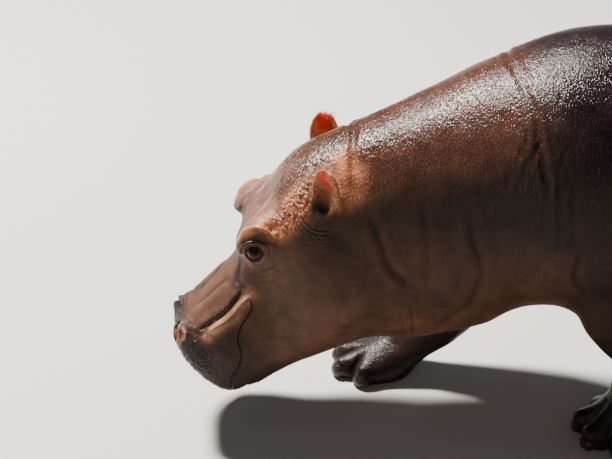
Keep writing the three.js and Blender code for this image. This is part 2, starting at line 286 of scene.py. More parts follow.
def smooth_ear(name):
    """The ear's cup, rounded and a little thicker, for the skin to follow."""
    ear = copy_of(f"ear_{name}")
    quads = {"face_threshold": math.radians(50), "shape_threshold": math.radians(70)}
    edit(ear, (bpy.ops.mesh.remove_doubles, {"threshold": WELD}), (bpy.ops.mesh.tris_convert_to_quads, quads))
    modify(ear, "SUBSURF", levels=3, render_levels=3)
    modify(ear, "DISPLACE", strength=0.0016, mid_level=0.0)
    return ear


def follow_ears(skin):
    """Draws the skin of the ears onto their rounded cups, clear of the skull."""
    co = places(skin)
    for name in SIDES:
        ear = smooth_ear(name)
        tree = BVHTree.FromObject(ear, bpy.context.evaluated_depsgraph_get())
        low, high = np.array(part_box(f"ear_{name}")) + np.array([[-0.006], [0.006]])
        rows = np.nonzero(((co > low) & (co < high)).all(1))[0]
        for i in rows:
            hit, _, _, distance = tree.find_nearest(Vector(co[i]), 0.008)
            if hit is not None:
                share = float(step(distance, 0.0065, 0.0040))
                co[i] = co[i] * (1 - share) + np.array(hit) * share
        bpy.data.objects.remove(ear)
    place(skin, co)


def only_the_main_shell(skin):
    """Clears away the specks that the joining leaves inside."""
    pairs, n = edges_of(skin), len(skin.data.vertices)
    label = np.arange(n)
    while True:
        least = np.minimum(label[pairs[:, 0]], label[pairs[:, 1]])
        newer = label.copy()
        np.minimum.at(newer, pairs[:, 0], least)
        np.minimum.at(newer, pairs[:, 1], least)
        newer = newer[newer]
        if (newer == label).all():
            break
        label = newer
    stray = label != np.bincount(label).argmax()
    if stray.any():
        pick(skin)
        skin.data.vertices.foreach_set("select", stray)
        bpy.ops.object.mode_set(mode="EDIT")
        bpy.ops.mesh.delete(type="VERT")
        bpy.ops.object.mode_set(mode="OBJECT")


def refine(skin, mask):
    """Splits the faces whose corners all lie in the mask."""
    pick(skin)
    skin.data.polygons.foreach_set("select", np.zeros(len(skin.data.polygons), bool))
    skin.data.edges.foreach_set("select", mask[edges_of(skin)].all(1))
    skin.data.vertices.foreach_set("select", mask)
    bpy.context.tool_settings.mesh_select_mode = (False, True, False)
    bpy.ops.object.mode_set(mode="EDIT")
    bpy.ops.mesh.subdivide(number_cuts=1, smoothness=0)
    bpy.ops.object.mode_set(mode="OBJECT")
    bpy.context.tool_settings.mesh_select_mode = (True, False, False)


def fill_hollows(skin, mask, reach, strength):
    """Rounds the hollows between forms outwards, and leaves the forms themselves."""
    before, out = places(skin), normals_of(skin)
    relax(skin, mask * 0.9, max(1, round(2 * reach**2 / (0.9 * VOXEL**2))))
    rise = ((places(skin) - before) * out).sum(1)
    place(skin, before + out * (np.maximum(rise, 0) * strength)[:, None])


# ---- Folds ----
def sweep(points, spacing=0.0025):
    """A smooth line through points given in millimetres."""
    p = np.array(points, float) / 1000
    p = np.vstack([2 * p[0] - p[1], p, 2 * p[-1] - p[-2]])
    out = []
    for k in range(1, len(p) - 2):
        count = max(2, int(np.linalg.norm(p[k + 1] - p[k]) / spacing))
        for t in np.arange(count) / count:
            a, b, c, d = p[k - 1], p[k], p[k + 1], p[k + 2]
            square, cube = 2 * a - 5 * b + 4 * c - d, 3 * b - a - 3 * c + d
            out.append(0.5 * (2 * b + (c - a) * t + square * t**2 + cube * t**3))
    out.append(p[-2])
    return np.array(out)


def on_side(points, side):
    """The same points on one flank: y is given as the distance from the middle plane."""
    return [(x, y * side, z) for x, y, z in points]


def across_the_middle(points):
    """One line from the right flank over the middle plane to the left, from points that start on it."""
    return on_side(points, 1)[:0:-1] + on_side(points, -1)


def both_sides(*lines):
    """Each line on both flanks."""
    return [on_side(line, side) for line in lines for side in SIDES.values()]


def along_lines(co, lines, reach):
    """1 on the lines, falling off within reach, in metres."""
    shade = np.zeros(len(co))
    for line in lines:
        path = sweep(line, 0.005)
        low, high = path.min(0) - reach * 2.5, path.max(0) + reach * 2.5
        rows = np.nonzero(((co > low) & (co < high)).all(1))[0]
        if len(rows):
            d = np.full(len(rows), 1e9)
            for p in path:
                d = np.minimum(d, ((co[rows] - p) ** 2).sum(1))
            shade[rows] = np.maximum(shade[rows], np.exp(-d / reach**2))
    return shade


class Sculptor:
    """Pushes the skin's points in and out along their normals."""

    def __init__(self, obj):
        self.obj = obj
        self.co = places(obj)
        self.out = normals_of(obj)
        self.push = np.zeros(len(self.co))

    def across(self, line, reach):
        """The points within reach of a line: which, how far along it, how far off and on which side."""
        low, high = line.min(0) - reach * 1.5 - 0.01, line.max(0) + reach * 1.5 + 0.01
        rows = np.nonzero(((self.co > low) & (self.co < high)).all(1))[0]
        if not len(rows):
            return rows, rows, rows, rows
        local = self.co[rows]
        line = np.array([local[((local - p) ** 2).sum(1).argmin()] for p in line])
        for _ in range(12):  # the nearest points zigzag, so the line is evened out
            line[1:-1] = line[1:-1] / 2 + (line[:-2] + line[2:]) / 4
        ahead = np.gradient(line, axis=0)
        ahead /= np.linalg.norm(ahead, axis=1)[:, None] + 1e-12
        far = np.full(len(rows), 1e9)
        which = np.zeros(len(rows), int)
        for k, p in enumerate(line):
            d = ((local - p) ** 2).sum(1)
            closer = d < far
            far[closer], which[closer] = d[closer], k
        away = local - line[which]
        away -= (away * ahead[which]).sum(1)[:, None] * ahead[which] * (
            (which > 0) & (which < len(line) - 1)
        )[:, None]
        off = np.linalg.norm(away, axis=1)
        hand = (np.cross(ahead[which], self.out[rows]) * away).sum(1) / (off + 1e-6)
        close = off < reach
        return rows[close], (which / max(1, len(line) - 1))[close], off[close], hand[close]

    def fold(self, points, width, depth, lip=0.0, lap=0.0, blunt=False):
        """A groove along a line, or with a negative depth a ridge, in millimetres.

        lip raises both banks, and lap raises one bank over the other.
        A blunt fold keeps its depth at the ends.
        """
        line = sweep(points)
        width, depth, lip, lap = width / 1000, depth / 1000, lip / 1000, lap / 1000
        rows, along, off, hand = self.across(line, width * 5)
        if not len(rows):
            return
        ends = np.ones(len(rows)) if blunt else step(along, 0, 0.18) * step(along, 1, 0.82)
        shape = -depth * bell(off, width)
        shape += lip * bell(off - 2 * width, width)
        shape += lap * step(hand * off, 0, width * 0.7) * bell(off, 2.5 * width)
        np.add.at(self.push, rows, shape * ends)

    def swell(self, centre, reach, height):
        """A soft rise or hollow round a point."""
        self.push += near(self.co, centre, reach) * height

    def settle(self):
        """Moves the points, and starts again from where they are."""
        self.co = self.co + self.out * self.push[:, None]
        place(self.obj, self.co)
        self.out = normals_of(self.obj)
        self.push = np.zeros(len(self.co))


# Lines over the skin, in millimetres: x, the distance off the middle plane, and the height.
MOUTH = [
    (-684, 90, 303), (-684, 95, 285), (-695, 96, 269), (-704, 98, 253), (-711, 105, 229), (-705, 111, 207),
    (-706, 114, 188), (-715, 115, 167), (-722, 110, 147), (-723, 103, 127), (-727, 84, 109), (-730, 55, 96),
    (-731, 25, 88), (-731, 0, 86),
]
LIP_RIDGE = [
    (-684, 84, 313), (-697, 87, 298), (-707, 88, 285), (-720, 90, 269), (-732, 91, 259), (-745, 92, 251),
    (-758, 92, 241), (-768, 91, 230),
]
LIP_GROOVE = [
    (-699, 68, 320), (-706, 75, 307), (-712, 77, 297), (-727, 81, 279), (-742, 83, 265), (-757, 82, 254),
    (-771, 80, 243), (-784, 75, 233),
]
EYE_GROOVE = [(-698, 44, 362), (-703, 42, 345), (-708, 48, 330), (-708, 62, 316)]
GROOVE_LINK = [(-708, 60, 318), (-702, 66, 320), (-699, 68, 316)]
MUZZLE_SIDE = [(-723, 39, 315), (-737, 43, 298), (-756, 44, 278), (-779, 40, 257), (-798, 42, 241)]
MUZZLE_STREAK = [(-728, 29, 318), (-740, 28, 301), (-763, 24, 277), (-779, 22, 262)]
EYE_BAGS = [
    [(-694, 62, 370), (-684, 64, 362), (-674, 75, 361), (-657, 94, 371), (-638, 109, 392), (-628, 112, 416)],
    [(-694, 58, 358), (-678, 72, 351), (-662, 89, 355), (-645, 104, 368), (-626, 117, 394)],
    [(-676, 84, 340), (-655, 98, 350), (-634, 112, 370), (-620, 120, 392)],
]
EAR_RINGS = [
    [(-597, 95, 497), (-596, 100, 489), (-591, 110, 476), (-576, 120, 466), (-559, 126, 464),
     (-541, 128, 468)],
    [(-605, 95, 492), (-603, 102, 480), (-597, 113, 465), (-578, 124, 455), (-554, 131, 454),
     (-532, 132, 461)],
]
BROW_EDGE = [(-704, 74, 430), (-691, 82, 447), (-673, 88, 456), (-652, 95, 450), (-630, 101, 445)]
BROW_UNDER = [(-700, 86, 418), (-686, 96, 434), (-664, 103, 438), (-642, 108, 428)]
CURLS_LOW = [
    (-635, 94, 452), (-622, 97, 462), (-613, 99, 473), (-601, 98, 488), (-592, 94, 500), (-578, 92, 514),
]
CURLS_HIGH = [
    (-652, 80, 456), (-640, 80, 466), (-626, 81, 481), (-610, 80, 500), (-594, 80, 516), (-578, 76, 531),
]
CURLS_MIDDLE = [tuple((np.array(a) + b) / 2) for a, b in zip(CURLS_LOW, CURLS_HIGH)]
NAPE_FLUSH = [(-520, 66, 573), (-505, 92, 553), (-503, 108, 528)]
THROAT = [(-395, 132, 262), (-384, 118, 238), (-360, 110, 235)]
EAR_CANAL = (-0.562, 0.112, 0.505)
# How wide and deep each fold is, how far its banks rise, how far one laps over, and its line.
BODY_FOLDS = [
    # behind the crown
    (6, 3.2, 1.6, 0.0, [(-494, 0, 601), (-494, 20, 599), (-499, 53, 586), (-501, 77, 569), (-500, 95, 549),
                        (-500, 113, 522)]),
    # the cheek, then three down the neck
    (8, 3.6, 1.6, 2.2, [(-470, 134, 500), (-466, 138, 479), (-454, 149, 442), (-442, 155, 405),
                        (-418, 157, 379), (-400, 158, 358)]),
    (8, 1.9, 1.0, 1.4, [(-384, 148, 530), (-381, 152, 509), (-376, 162, 468), (-373, 165, 434),
                        (-373, 165, 397), (-376, 160, 350)]),
    (9, 3.8, 1.8, 2.6, [(-306, 166, 540), (-302, 176, 503), (-297, 182, 459), (-284, 186, 435),
                        (-280, 184, 397), (-287, 174, 353), (-299, 158, 313), (-333, 134, 269),
                        (-344, 108, 232)]),
    (2.6, 2.4, 1.0, 1.4, [(-400, 151, 326), (-397, 147, 303), (-393, 138, 278), (-390, 124, 252),
                          (-384, 100, 222)]),
    (2.2, 1.4, 0.8, 0.8, [(-420, 150, 318), (-414, 144, 292), (-410, 132, 265), (-404, 112, 235)]),
    # over the withers and down behind the shoulder
    (6, 2.0, 1.3, 0.6, [(-219, 0, 721), (-218, 20, 721), (-211, 60, 715), (-201, 107, 697), (-193, 136, 679),
                        (-193, 163, 651), (-184, 196, 604), (-182, 211, 560), (-181, 218, 505),
                        (-176, 222, 455)]),
    (5, 1.8, 1.0, 0.5, [(-160, 202, 590), (-158, 214, 545), (-156, 222, 500), (-158, 226, 460)]),
    (5, 1.5, 0.8, 0.5, [(-140, 212, 580), (-136, 222, 540), (-133, 228, 500), (-135, 231, 455)]),
    # the armpit, and the folds in front of the stifle
    (6, 4.5, 2.0, 2.0, [(-112, 236, 478), (-118, 234, 462), (-122, 223, 411), (-104, 214, 380),
                        (-87, 207, 362)]),
    (8, 5.0, 2.0, 2.0, [(430, 226, 360), (452, 222, 320), (462, 205, 285), (455, 180, 262)]),
    (6, 2.5, 1.2, 0.5, [(405, 232, 380), (420, 228, 335), (428, 212, 298), (425, 188, 268)]),
    # flank and loin
    (8, 2.0, 1.0, 0.0, [(300, 232, 520), (296, 246, 470), (300, 252, 420), (312, 248, 370)]),
    (8, 1.6, 0.8, 0.0, [(60, 236, 560), (52, 250, 510), (50, 256, 450), (58, 254, 400)]),
    # buttock to tail
    (7, 3.0, 1.5, 0.0, [(770, 60, 560), (790, 66, 520), (796, 62, 470), (786, 58, 420), (764, 60, 380)]),
]


def head_line(points):
    """A line given in the head's own directions (along, up, side), as body millimetres."""
    return [tuple(head_point(*p) * 1000) for p in points]


NOSTRIL_RIM = head_line([(392, 22, 46), (390, 20, 56), (398, 12, 64), (410, 2, 66), (420, -5, 60)])
NOSTRIL = head_line([(394, 17, 44), (401, 15, 51), (408, 9, 57), (414, 2, 58)])
NOSTRIL_HOLE = (402, 7, 61)
EAR_FACING = {"left": np.array([-0.75, -0.66, 0.0]), "right": np.array([-0.5, -0.86, 0.0])}
rng = np.random.default_rng(7)


def ear_canal(side):
    return np.array(EAR_CANAL) * [1, side, 1]


def nostril_hole(side):
    along, up, off = NOSTRIL_HOLE
    return head_point(along, up, off * side)


def narrow_lids(co, centre, ahead, up, gaze):
    """Draws the upper lid down and the lower one up over the ball, and leaves the corners."""
    local = co - centre
    a, b, c = local @ ahead, local @ up, local @ gaze
    ball = np.linalg.norm(local, axis=1)
    share = step(ball, 0.0300, 0.0220) * step(c, -0.002, 0.005) * np.clip(1 - (a / 0.0185) ** 2, 0, 1)
    shift = share * (step(b, 0.001, 0.007) * -0.0036 + step(b, -0.001, -0.007) * 0.0017)
    moved = local + up * shift[:, None]
    return centre + moved * (ball / np.linalg.norm(moved, axis=1))[:, None]


def shape_orbit(skin, name, side):
    """Gives the eye its ringed lids, with a heavy fold over the upper lid and a fleshy front corner, and
    keeps the skin off the ball.
    """
    centre, gaze = (np.array(v) for v in EYES[name])
    ahead = ALONG - gaze * (ALONG @ gaze)
    ahead /= np.linalg.norm(ahead)
    up = np.cross(gaze, ahead) * -side
    up *= np.sign(up[2])
    co, out = places(skin), normals_of(skin)
    local = co - centre
    a, b, c = local @ ahead, local @ up, local @ gaze
    ball = np.linalg.norm(local, axis=1)
    lid = step(ball, 0.060, 0.040) * step(c, -0.012, -0.002)
    push = np.zeros(len(co))
    # rings that follow the lids: deeper above and behind the eye
    r = np.hypot(a * np.where(a > 0, 0.80, 0.96), b * np.where(b > 0, 1.0, 0.94))
    grooves = ((0.0172, 0.0011, 0.0012), (0.0212, 0.0013, 0.0016), (0.0262, 0.0016, 0.0012))
    for radius, width, depth in grooves:
        push -= lid * depth * bell(r - radius, width) * (0.65 + 0.35 * step(b, -0.01, 0.012))
    push += lid * 0.0010 * bell(r - 0.0192, 0.0016)
    push += lid * 0.0012 * bell(r - 0.0237, 0.0018)
    # a heavy fold hangs over the upper lid
    push += lid * 0.0040 * bell(b - 0.0245 + 14 * a**2, 0.0055) * step(np.abs(a), 0.034, 0.012)
    push -= lid * 0.0030 * bell(b - 0.0180 + 12 * a**2, 0.0020) * step(np.abs(a), 0.028, 0.012)
    # fleshy front corner
    corner = centre + gaze * 0.0125 + ahead * 0.0135 + up * 0.0020
    push += near(co, corner, 0.0035) * 0.0026
    co = co + out * push[:, None]
    local = co - centre
    ball = np.linalg.norm(local, axis=1)
    clear = EYE_RADIUS + 0.0004
    inside = ball < clear
    co[inside] = centre + local[inside] / ball[inside, None] * clear
    place(skin, narrow_lids(co, centre, ahead, up, gaze))


def bridge_brows(skin):
    """Fills the dip between the brows, so that they rise out of one broad forehead."""
    co, out = places(skin), normals_of(skin)
    head, dorsal, flank = in_head(co)
    marks = [90, 110, 130, 147, 160, 172, 186, 200, 216, 236]
    middle = np.interp(head, marks, [57, 55, 53, 52, 50, 46, 40, 34, 25, 12])
    brow = np.interp(head, marks, [50, 54, 62, 66, 66, 63, 55, 42, 25, 6])
    wanted = middle + (brow - middle) * np.clip(flank / 74, 0, 1) ** 1.7
    share = step(flank, 96, 78) * step(head, 84, 104) * step(head, 238, 212)
    share = share * (out @ UP > -0.1) * (dorsal > -8)
    rise = np.clip(wanted - dorsal, 0, 13) * share
    place(skin, co + UP * (rise / 1000)[:, None])
    zone = step(flank, 104, 84) * step(head, 84, 110) * step(head, 240, 214) * (dorsal > -20)
    relax(skin, zone * 0.55, 14)


def curl_ridges(work, side):
    """Short wet curls of skin between the brow and the ear."""
    low, high = sweep(CURLS_LOW, 0.004), sweep(CURLS_HIGH, 0.004)
    count = 14
    for k in range(count):
        t = (k + 0.5) / count
        a = low[int(t * (len(low) - 1))] * 1000
        b = high[int(t * (len(high) - 1))] * 1000
        start, end = sorted(rng.uniform(-0.35, 1.15, 2))
        if end - start < 0.45:
            end = start + 0.45
        line = [a + (b - a) * u + rng.normal(0, 0.9, 3) for u in np.linspace(start, end, 5)]
        work.fold(on_side(line, side), 1.9, -rng.uniform(1.2, 2.2))


def sculpt_head(skin):
    for name, side in SIDES.items():
        shape_orbit(skin, name, side)
    work = Sculptor(skin)
    for side in SIDES.values():
        work.fold(on_side(LIP_RIDGE, side), 6.2, -9.4)
        work.fold(on_side(LIP_GROOVE, side), 4.6, 5.5)
        work.fold(on_side(MUZZLE_SIDE, side), 13, -4.0)
        work.fold(on_side(MUZZLE_STREAK, side), 5, 1.8)
        work.fold(on_side(EYE_GROOVE, side), 7, 3.0, 0.5)
    work.settle()
    work.fold(across_the_middle(MOUTH[::-1]), 1.5, 4.2, 0.7, 1.0, blunt=True)
    for side in SIDES.values():
        work.fold(on_side(NOSTRIL, side), 3.6, 9.0, 2.6, blunt=True)
        for k, line in enumerate(EYE_BAGS):
            work.fold(on_side(line, side), 2.4, 2.0 - 0.30 * k, 0.7)
            work.fold(on_side([(x + 1, y + 1, z - 5) for x, y, z in line[1:]], side), 1.6, 1.1, 0.4)
        inner, outer = (np.array(ring, float) for ring in EAR_RINGS)
        for k in range(5):
            ring = inner + (outer - inner) * (0.62 * k - 0.1)
            work.fold(on_side(ring.tolist(), side), 1.7, 1.2 - 0.14 * k, 0.5)
        work.swell(ear_canal(side), 0.012, -0.006)
        work.fold(on_side(BROW_EDGE, side), 4.6, -3.0)
        work.fold(on_side(BROW_UNDER, side), 4.2, 2.6)
        work.fold(on_side(NOSTRIL_RIM, side), 3.0, -2.0)
        work.swell(nostril_hole(side), 0.0075, -0.0045)
    work.settle()
    for side in SIDES.values():
        curl_ridges(work, side)
        for p in sweep(LIP_RIDGE, 0.006)[1:-1] * 1000:  # small wrinkles across the lip ridge
            tilt = rng.uniform(-1.5, 1.5)
            line = [
                (p[0] - 4 + tilt, (p[1] - 3) * side, p[2] + 5),
                (p[0] + tilt * 0.3, p[1] * side, p[2]),
                (p[0] + 5 - tilt, (p[1] + 2) * side, p[2] - 6),
            ]
            work.fold(line, 1.4, rng.uniform(1.2, 2.2))
    work.settle()


def upright_wrinkles(work, side):
    """Fine wrinkles at the shoulder and along the neck."""
    for k in range(16):
        x = -345 + 15.5 * k + rng.uniform(-4, 4)
        z = rng.uniform(430, 590)
        half = rng.uniform(30, 60)
        y = 168 + 0.36 * (x + 345)
        bow = rng.uniform(-6, 6)
        line = [(x - bow, y, z + half), (x + bow, y + 4, z), (x - bow, y + 6, z - half)]
        work.fold(on_side(line, side), 3.0, rng.uniform(0.5, 1.1), 0.3)


def withers_wrinkles(work, side):
    """Short wrinkles that cross the fold over the withers."""
    heights, widths = [560, 604, 651, 679, 697, 715, 722], [208, 196, 160, 136, 107, 60, 20]
    for k in range(26):
        x, z = rng.normal(-205, 26), rng.uniform(560, 715)
        y = float(np.interp(z, heights, widths))
        half = rng.uniform(10, 26)
        slope = 1.0 if z < 640 else 0.45
        lean = rng.uniform(-5, 5)
        inwards = half * (1 - slope) * 0.9
        drop = half * slope
        line = [(x - lean, y - inwards, z + drop), (x, y, z), (x + lean, y + inwards, z - drop)]
        work.fold(on_side(line, side), 3.2, rng.uniform(0.8, 1.7), 0.5)


def flank_creases(work, side):
    """Creases over the buttock, thigh and flank."""
    for k in range(14):
        x, z = rng.uniform(120, 700), rng.uniform(330, 620)
        half = rng.uniform(25, 60)
        line = [(x, 240, z + half), (x + rng.uniform(-8, 8), 245, z), (x, 240, z - half)]
        work.fold(on_side(line, side), 4.0, rng.uniform(0.5, 1.1), 0.3)


def sculpt_body(skin):
    work = Sculptor(skin)
    for width, depth, lip, lap, points in BODY_FOLDS:
        if points[0][1] == 0:
            work.fold(across_the_middle(points), width, depth, lip)
        else:
            for line in both_sides(points):
                work.fold(line, width, depth, lip, lap)
    work.settle()
    for side in SIDES.values():
        upright_wrinkles(work, side)
        withers_wrinkles(work, side)
        flank_creases(work, side)
    work.settle()


# Each leg's sole centre in the plan, its turn, and rings of wrinkles: height, slope and depth.
STANCES = {
    "fore_right": ((-0.428, 0.112), 6, ((0.088, 0.25, 2.0), (0.104, 0.3, 1.6), (0.124, 0.35, 1.2))),
    "fore_left": ((0.022, -0.144), -6, ((0.092, 0.1, 1.8), (0.108, 0.1, 1.4), (0.168, -0.1, 1.2))),
    "hind_left": ((0.412, -0.130), -8, ((0.090, 0.1, 1.8), (0.106, 0.1, 1.4), (0.175, -0.3, 1.4))),
    "hind_right": ((0.694, 0.130), 8, ((0.090, 0.1, 1.8), (0.106, 0.1, 1.4), (0.178, -0.3, 1.4))),
}


def nail_place(leg, toe):
    """The middle of a nail's solid, and the way outwards from the sole's centre."""
    middle = box_of(f"{leg}_foot_nail_{toe}")[2]
    (x0, y0), _, _ = STANCES[leg]
    outward = np.array([middle[0] - x0, middle[1] - y0, 0.0])
    return middle, outward / np.linalg.norm(outward)


SOLE = 0.0002  # the skin's lowest level over the floor


def sculpt_feet(skin):
    """Clefts between the toes, wrinkles round the ankles, and toes that swell round their nails."""
    co, out = places(skin), normals_of(skin)
    push = np.zeros(len(co))
    for (x0, y0), heading, rings in STANCES.values():
        turn = math.radians(heading)
        ahead = np.array([-math.cos(turn), math.sin(turn)])
        aside = np.array([math.sin(turn), math.cos(turn)])
        plan = co[:, :2] - np.array([x0, y0])
        f, s = plan @ ahead, plan @ aside
        r, angle = np.hypot(f, s), np.degrees(np.arctan2(s, f))
        near_leg = step(r, 0.20, 0.16)
        for cleft in (-44.5, 0.0, 44.5):
            away = np.radians(angle - cleft) * r
            band = bell(away, 0.0050) * step(r, 0.024, 0.052) * step(co[:, 2], 0.094, 0.060)
            push -= 0.0078 * band * step(r, 0.13, 0.11)
        for level, slope, depth in rings:
            ring = co[:, 2] - slope * (plan[:, 0]) - level
            push -= near_leg * depth / 1000 * bell(ring, 0.0028) * step(r, 0.14, 0.11)
            push += near_leg * depth / 2500 * bell(ring - 0.006, 0.004) * step(r, 0.14, 0.11)
    for leg in STANCES:
        for toe in TOES:
            middle, outward = nail_place(leg, toe)
            push += near(co, middle - outward * 0.010 + [0, 0, 0.015], 0.018) * 0.0115
            push += near(co, middle - outward * 0.034 + [0, 0, 0.030], 0.018) * 0.0040
    stand(skin, co + out * push[:, None])


def stand(skin, co):
    """Places the points, none of them under the floor."""
    co[:, 2] = np.maximum(co[:, 2], SOLE)
    place(skin, co)


def unevenness(skin):
    """Soft muscle and fat under the hide, the pebbled crown, the wet curls and the whisker bumps."""
    co, out = places(skin), normals_of(skin)
    low = np.array([noise.noise(Vector(p * 11)) + 0.5 * noise.noise(Vector(p * 24)) for p in co])
    head = (co - NAPE) @ ALONG
    calm = step(head, 0.06, 0.0)
    push = low * (0.0006 + 0.0012 * calm * step(co[:, 2], 0.10, 0.2))
    crown = step(co[:, 2], 0.47, 0.53) * step(head, 0.09, 0.04) * step(co[:, 0], -0.30, -0.44)
    crown *= step(np.abs(co[:, 1]), 0.10, 0.07)
    curls = np.clip(along_lines(co, both_sides(CURLS_MIDDLE), 0.0225) * 1.5, 0, 1)
    for i in np.nonzero((crown > 0.02) | (curls > 0.02))[0]:
        p = co[i]
        beads = noise.voronoi(Vector((p[0] * 165, p[1] * 120, p[2] * 165)))[0]
        push[i] += crown[i] * (1 - curls[i]) * 0.0027 * (min(beads[1] - beads[0], 0.6) - 0.25)
        ahead, across = (p[0] + p[2]) * 0.7071, (p[2] - p[0]) * 0.5 + abs(p[1]) * -0.7071
        drops = noise.voronoi(Vector((ahead * 165, across * 80, 0.0)))[0]
        push[i] += curls[i] * 0.0062 * (min(drops[1] - drops[0], 0.50) - 0.16)
    off_nostrils = 1 - along_lines(co, both_sides(NOSTRIL), 0.020)
    pads = step(head, 0.325, 0.375) * step(co[:, 2], 0.29, 0.25) * off_nostrils
    for i in np.nonzero(pads > 0.02)[0]:
        far = noise.voronoi(Vector(co[i] * 115))[0][0]
        push[i] += pads[i] * 0.0022 * (math.exp(-((far / 0.42) ** 2)) - 0.35)
    stand(skin, co + out * push[:, None])


def thin(skin, free, target):
    """Fewer triangles where free is 1, down to a number of them, and none lost elsewhere."""
    weigh(skin, "free", free)
    corners = read(skin.data.polygons, "loop_total", 1, np.int32)
    first = read(skin.data.polygons, "loop_start", 1, np.int32)
    inside = free[corner_points(skin)[first]] > 0.5
    kept = (corners[~inside] - 2).sum()
    ratio = (kept + target) / (corners - 2).sum()
    modify(skin, "DECIMATE", ratio=ratio, vertex_group="free", vertex_group_factor=1000.0)
    skin.vertex_groups.clear()


def head_share(co):
    """1 on the head and ears, 0 behind them."""
    head = (co - NAPE) @ ALONG
    ears = step(co[:, 0], -0.49, -0.51) * step(co[:, 2], 0.44, 0.46)
    return np.maximum(step(head, -0.005, 0.005), ears) * step(co[:, 0], -0.47, -0.50)


def within(co, spots):
    """The points in any of some balls, each a centre and a reach."""
    inside = np.zeros(len(co), bool)
    for spot, reach in spots:
        inside |= ((co - spot) ** 2).sum(1) < reach**2
    return inside


def face_parts(side):
    """The middles of the parts round an eye, an ear and a nostril."""
    ear = np.array([-0.555, side * 0.115, 0.520])
    return head_point(160, 28, 92 * side), ear, head_point(405, 8, 50 * side)


def finer_face(skin):
    """Smaller faces where the eyes, ears, nostrils and mouth are, and the smallest round the eyes."""
    spots = []
    for side in SIDES.values():
        spots += zip(face_parts(side), (0.050, 0.066, 0.036))
        spots.append((np.array([-0.605, side * 0.088, 0.492]), 0.046))
        for line in (MOUTH, LIP_RIDGE, LIP_GROOVE):
            spots += [(p, 0.013) for p in sweep(on_side(line, side), 0.008)]
    refine(skin, within(places(skin), spots))
    refine(skin, within(places(skin), [(np.array(centre), 0.030) for centre, _ in EYES.values()]))


def soften_face(skin):
    """Evens out the forms round the eyes, ears and nostrils once they are finer."""
    co = places(skin)
    soft = np.zeros(len(co))
    for side in SIDES.values():
        for spot, reach in zip(face_parts(side), (0.046, 0.062, 0.034)):
            soft = np.maximum(soft, step(((co - spot) ** 2).sum(1) ** 0.5, reach, reach * 0.8))
    relax(skin, soft * 0.6, 6)


BODY_TRIANGLES = 92000
HEAD_TRIANGLES = 98000


def make_skin():
    skin = flesh()
    smooth(skin)
    only_the_main_shell(skin)
    co = places(skin)
    brow = sum(near(co, head_point(140, 20, 70 * side), 0.060) for side in SIDES.values())
    for reach, strength in ((0.024, 0.85), (0.012, 0.9)):
        fill_hollows(skin, np.clip(brow * 1.6, 0, 1), reach, strength)
    hips = step(co[:, 2], 0.10, 0.16) * step(co[:, 2], 0.46, 0.34) * step(co[:, 0], -0.50, -0.42)
    fill_hollows(skin, hips, 0.022, 0.9)
    finer_face(skin)
    follow_ears(skin)
    soften_face(skin)
    bridge_brows(skin)
    sculpt_head(skin)
    sculpt_body(skin)
    sculpt_feet(skin)
    unevenness(skin)
    on_head = head_share(places(skin)) > 0.5
    thin(skin, (~on_head).astype(float), BODY_TRIANGLES)
    on_head = head_share(places(skin)) > 0.5
    thin(skin, on_head.astype(float), HEAD_TRIANGLES)
    shade_smooth(skin)
    return skin


skin = make_skin()
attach(skin, "root")
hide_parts(*FLESH)

# ---- Colour of the hide, mixed from soft regions of the body, with painted shade and painted light ----
HIDE_COLOURS = {
    "flank": (0.050, 0.0225, 0.0125),
    # painted shade and shadow, laid where light does not reach
    "shade": (0.012, 0.006, 0.0045),
    "back": (0.014, 0.007, 0.008),
    "neck_top": (0.066, 0.025, 0.017),
    "belly": (0.105, 0.040, 0.026),
    "cheek": (0.066, 0.031, 0.018),
    "forehead": (0.100, 0.050, 0.037),
    "streak": (0.230, 0.135, 0.105),
    "muzzle_top": (0.068, 0.025, 0.014),
    "muzzle_tip": (0.015, 0.0085, 0.006),
    "upper_lip": (0.042, 0.021, 0.012),
    # orange flush, and painted light on lit edges
    "flush_and_sunlit": (0.430, 0.160, 0.078),
    "ear_inside": (0.420, 0.026, 0.014),
    "rim": (0.520, 0.270, 0.190),
    "nostril": (0.200, 0.070, 0.050),
    # the darkest painted shade, for creases, slits and openings
    "painted_deep_shade": (0.006, 0.0035, 0.003),
    "feet": (0.011, 0.006, 0.0055),
    "pink": (0.300, 0.090, 0.066),
    "lip": (0.420, 0.185, 0.115),
    # painted shade in grooves and under the brow
    "groove": (0.020, 0.009, 0.0055),
}


def hollows(skin):
    """How deep each point lies in a crease, from 0 to 1, and how far it stands out on a ridge."""
    co, out, pairs = places(skin), normals_of(skin), edges_of(skin)
    count = np.bincount(pairs.ravel(), minlength=len(co))[:, None]
    away = np.zeros_like(co)
    span = np.linalg.norm(co[pairs[:, 0]] - co[pairs[:, 1]], axis=1)
    for k in range(3):
        away[:, k] = np.bincount(pairs[:, 0], co[pairs[:, 1], k], len(co))
        away[:, k] += np.bincount(pairs[:, 1], co[pairs[:, 0], k], len(co))
    length = np.bincount(pairs[:, 0], span, len(co)) + np.bincount(pairs[:, 1], span, len(co))
    bend = ((away / count - co) * out).sum(1) / (length / count[:, 0] + 1e-9)
    for _ in range(2):
        total = np.bincount(pairs[:, 0], bend[pairs[:, 1]], len(co))
        total += np.bincount(pairs[:, 1], bend[pairs[:, 0]], len(co))
        bend = (bend + total / count[:, 0]) / 2
    return step(bend, 0.02, 0.22), step(-bend, 0.04, 0.30)


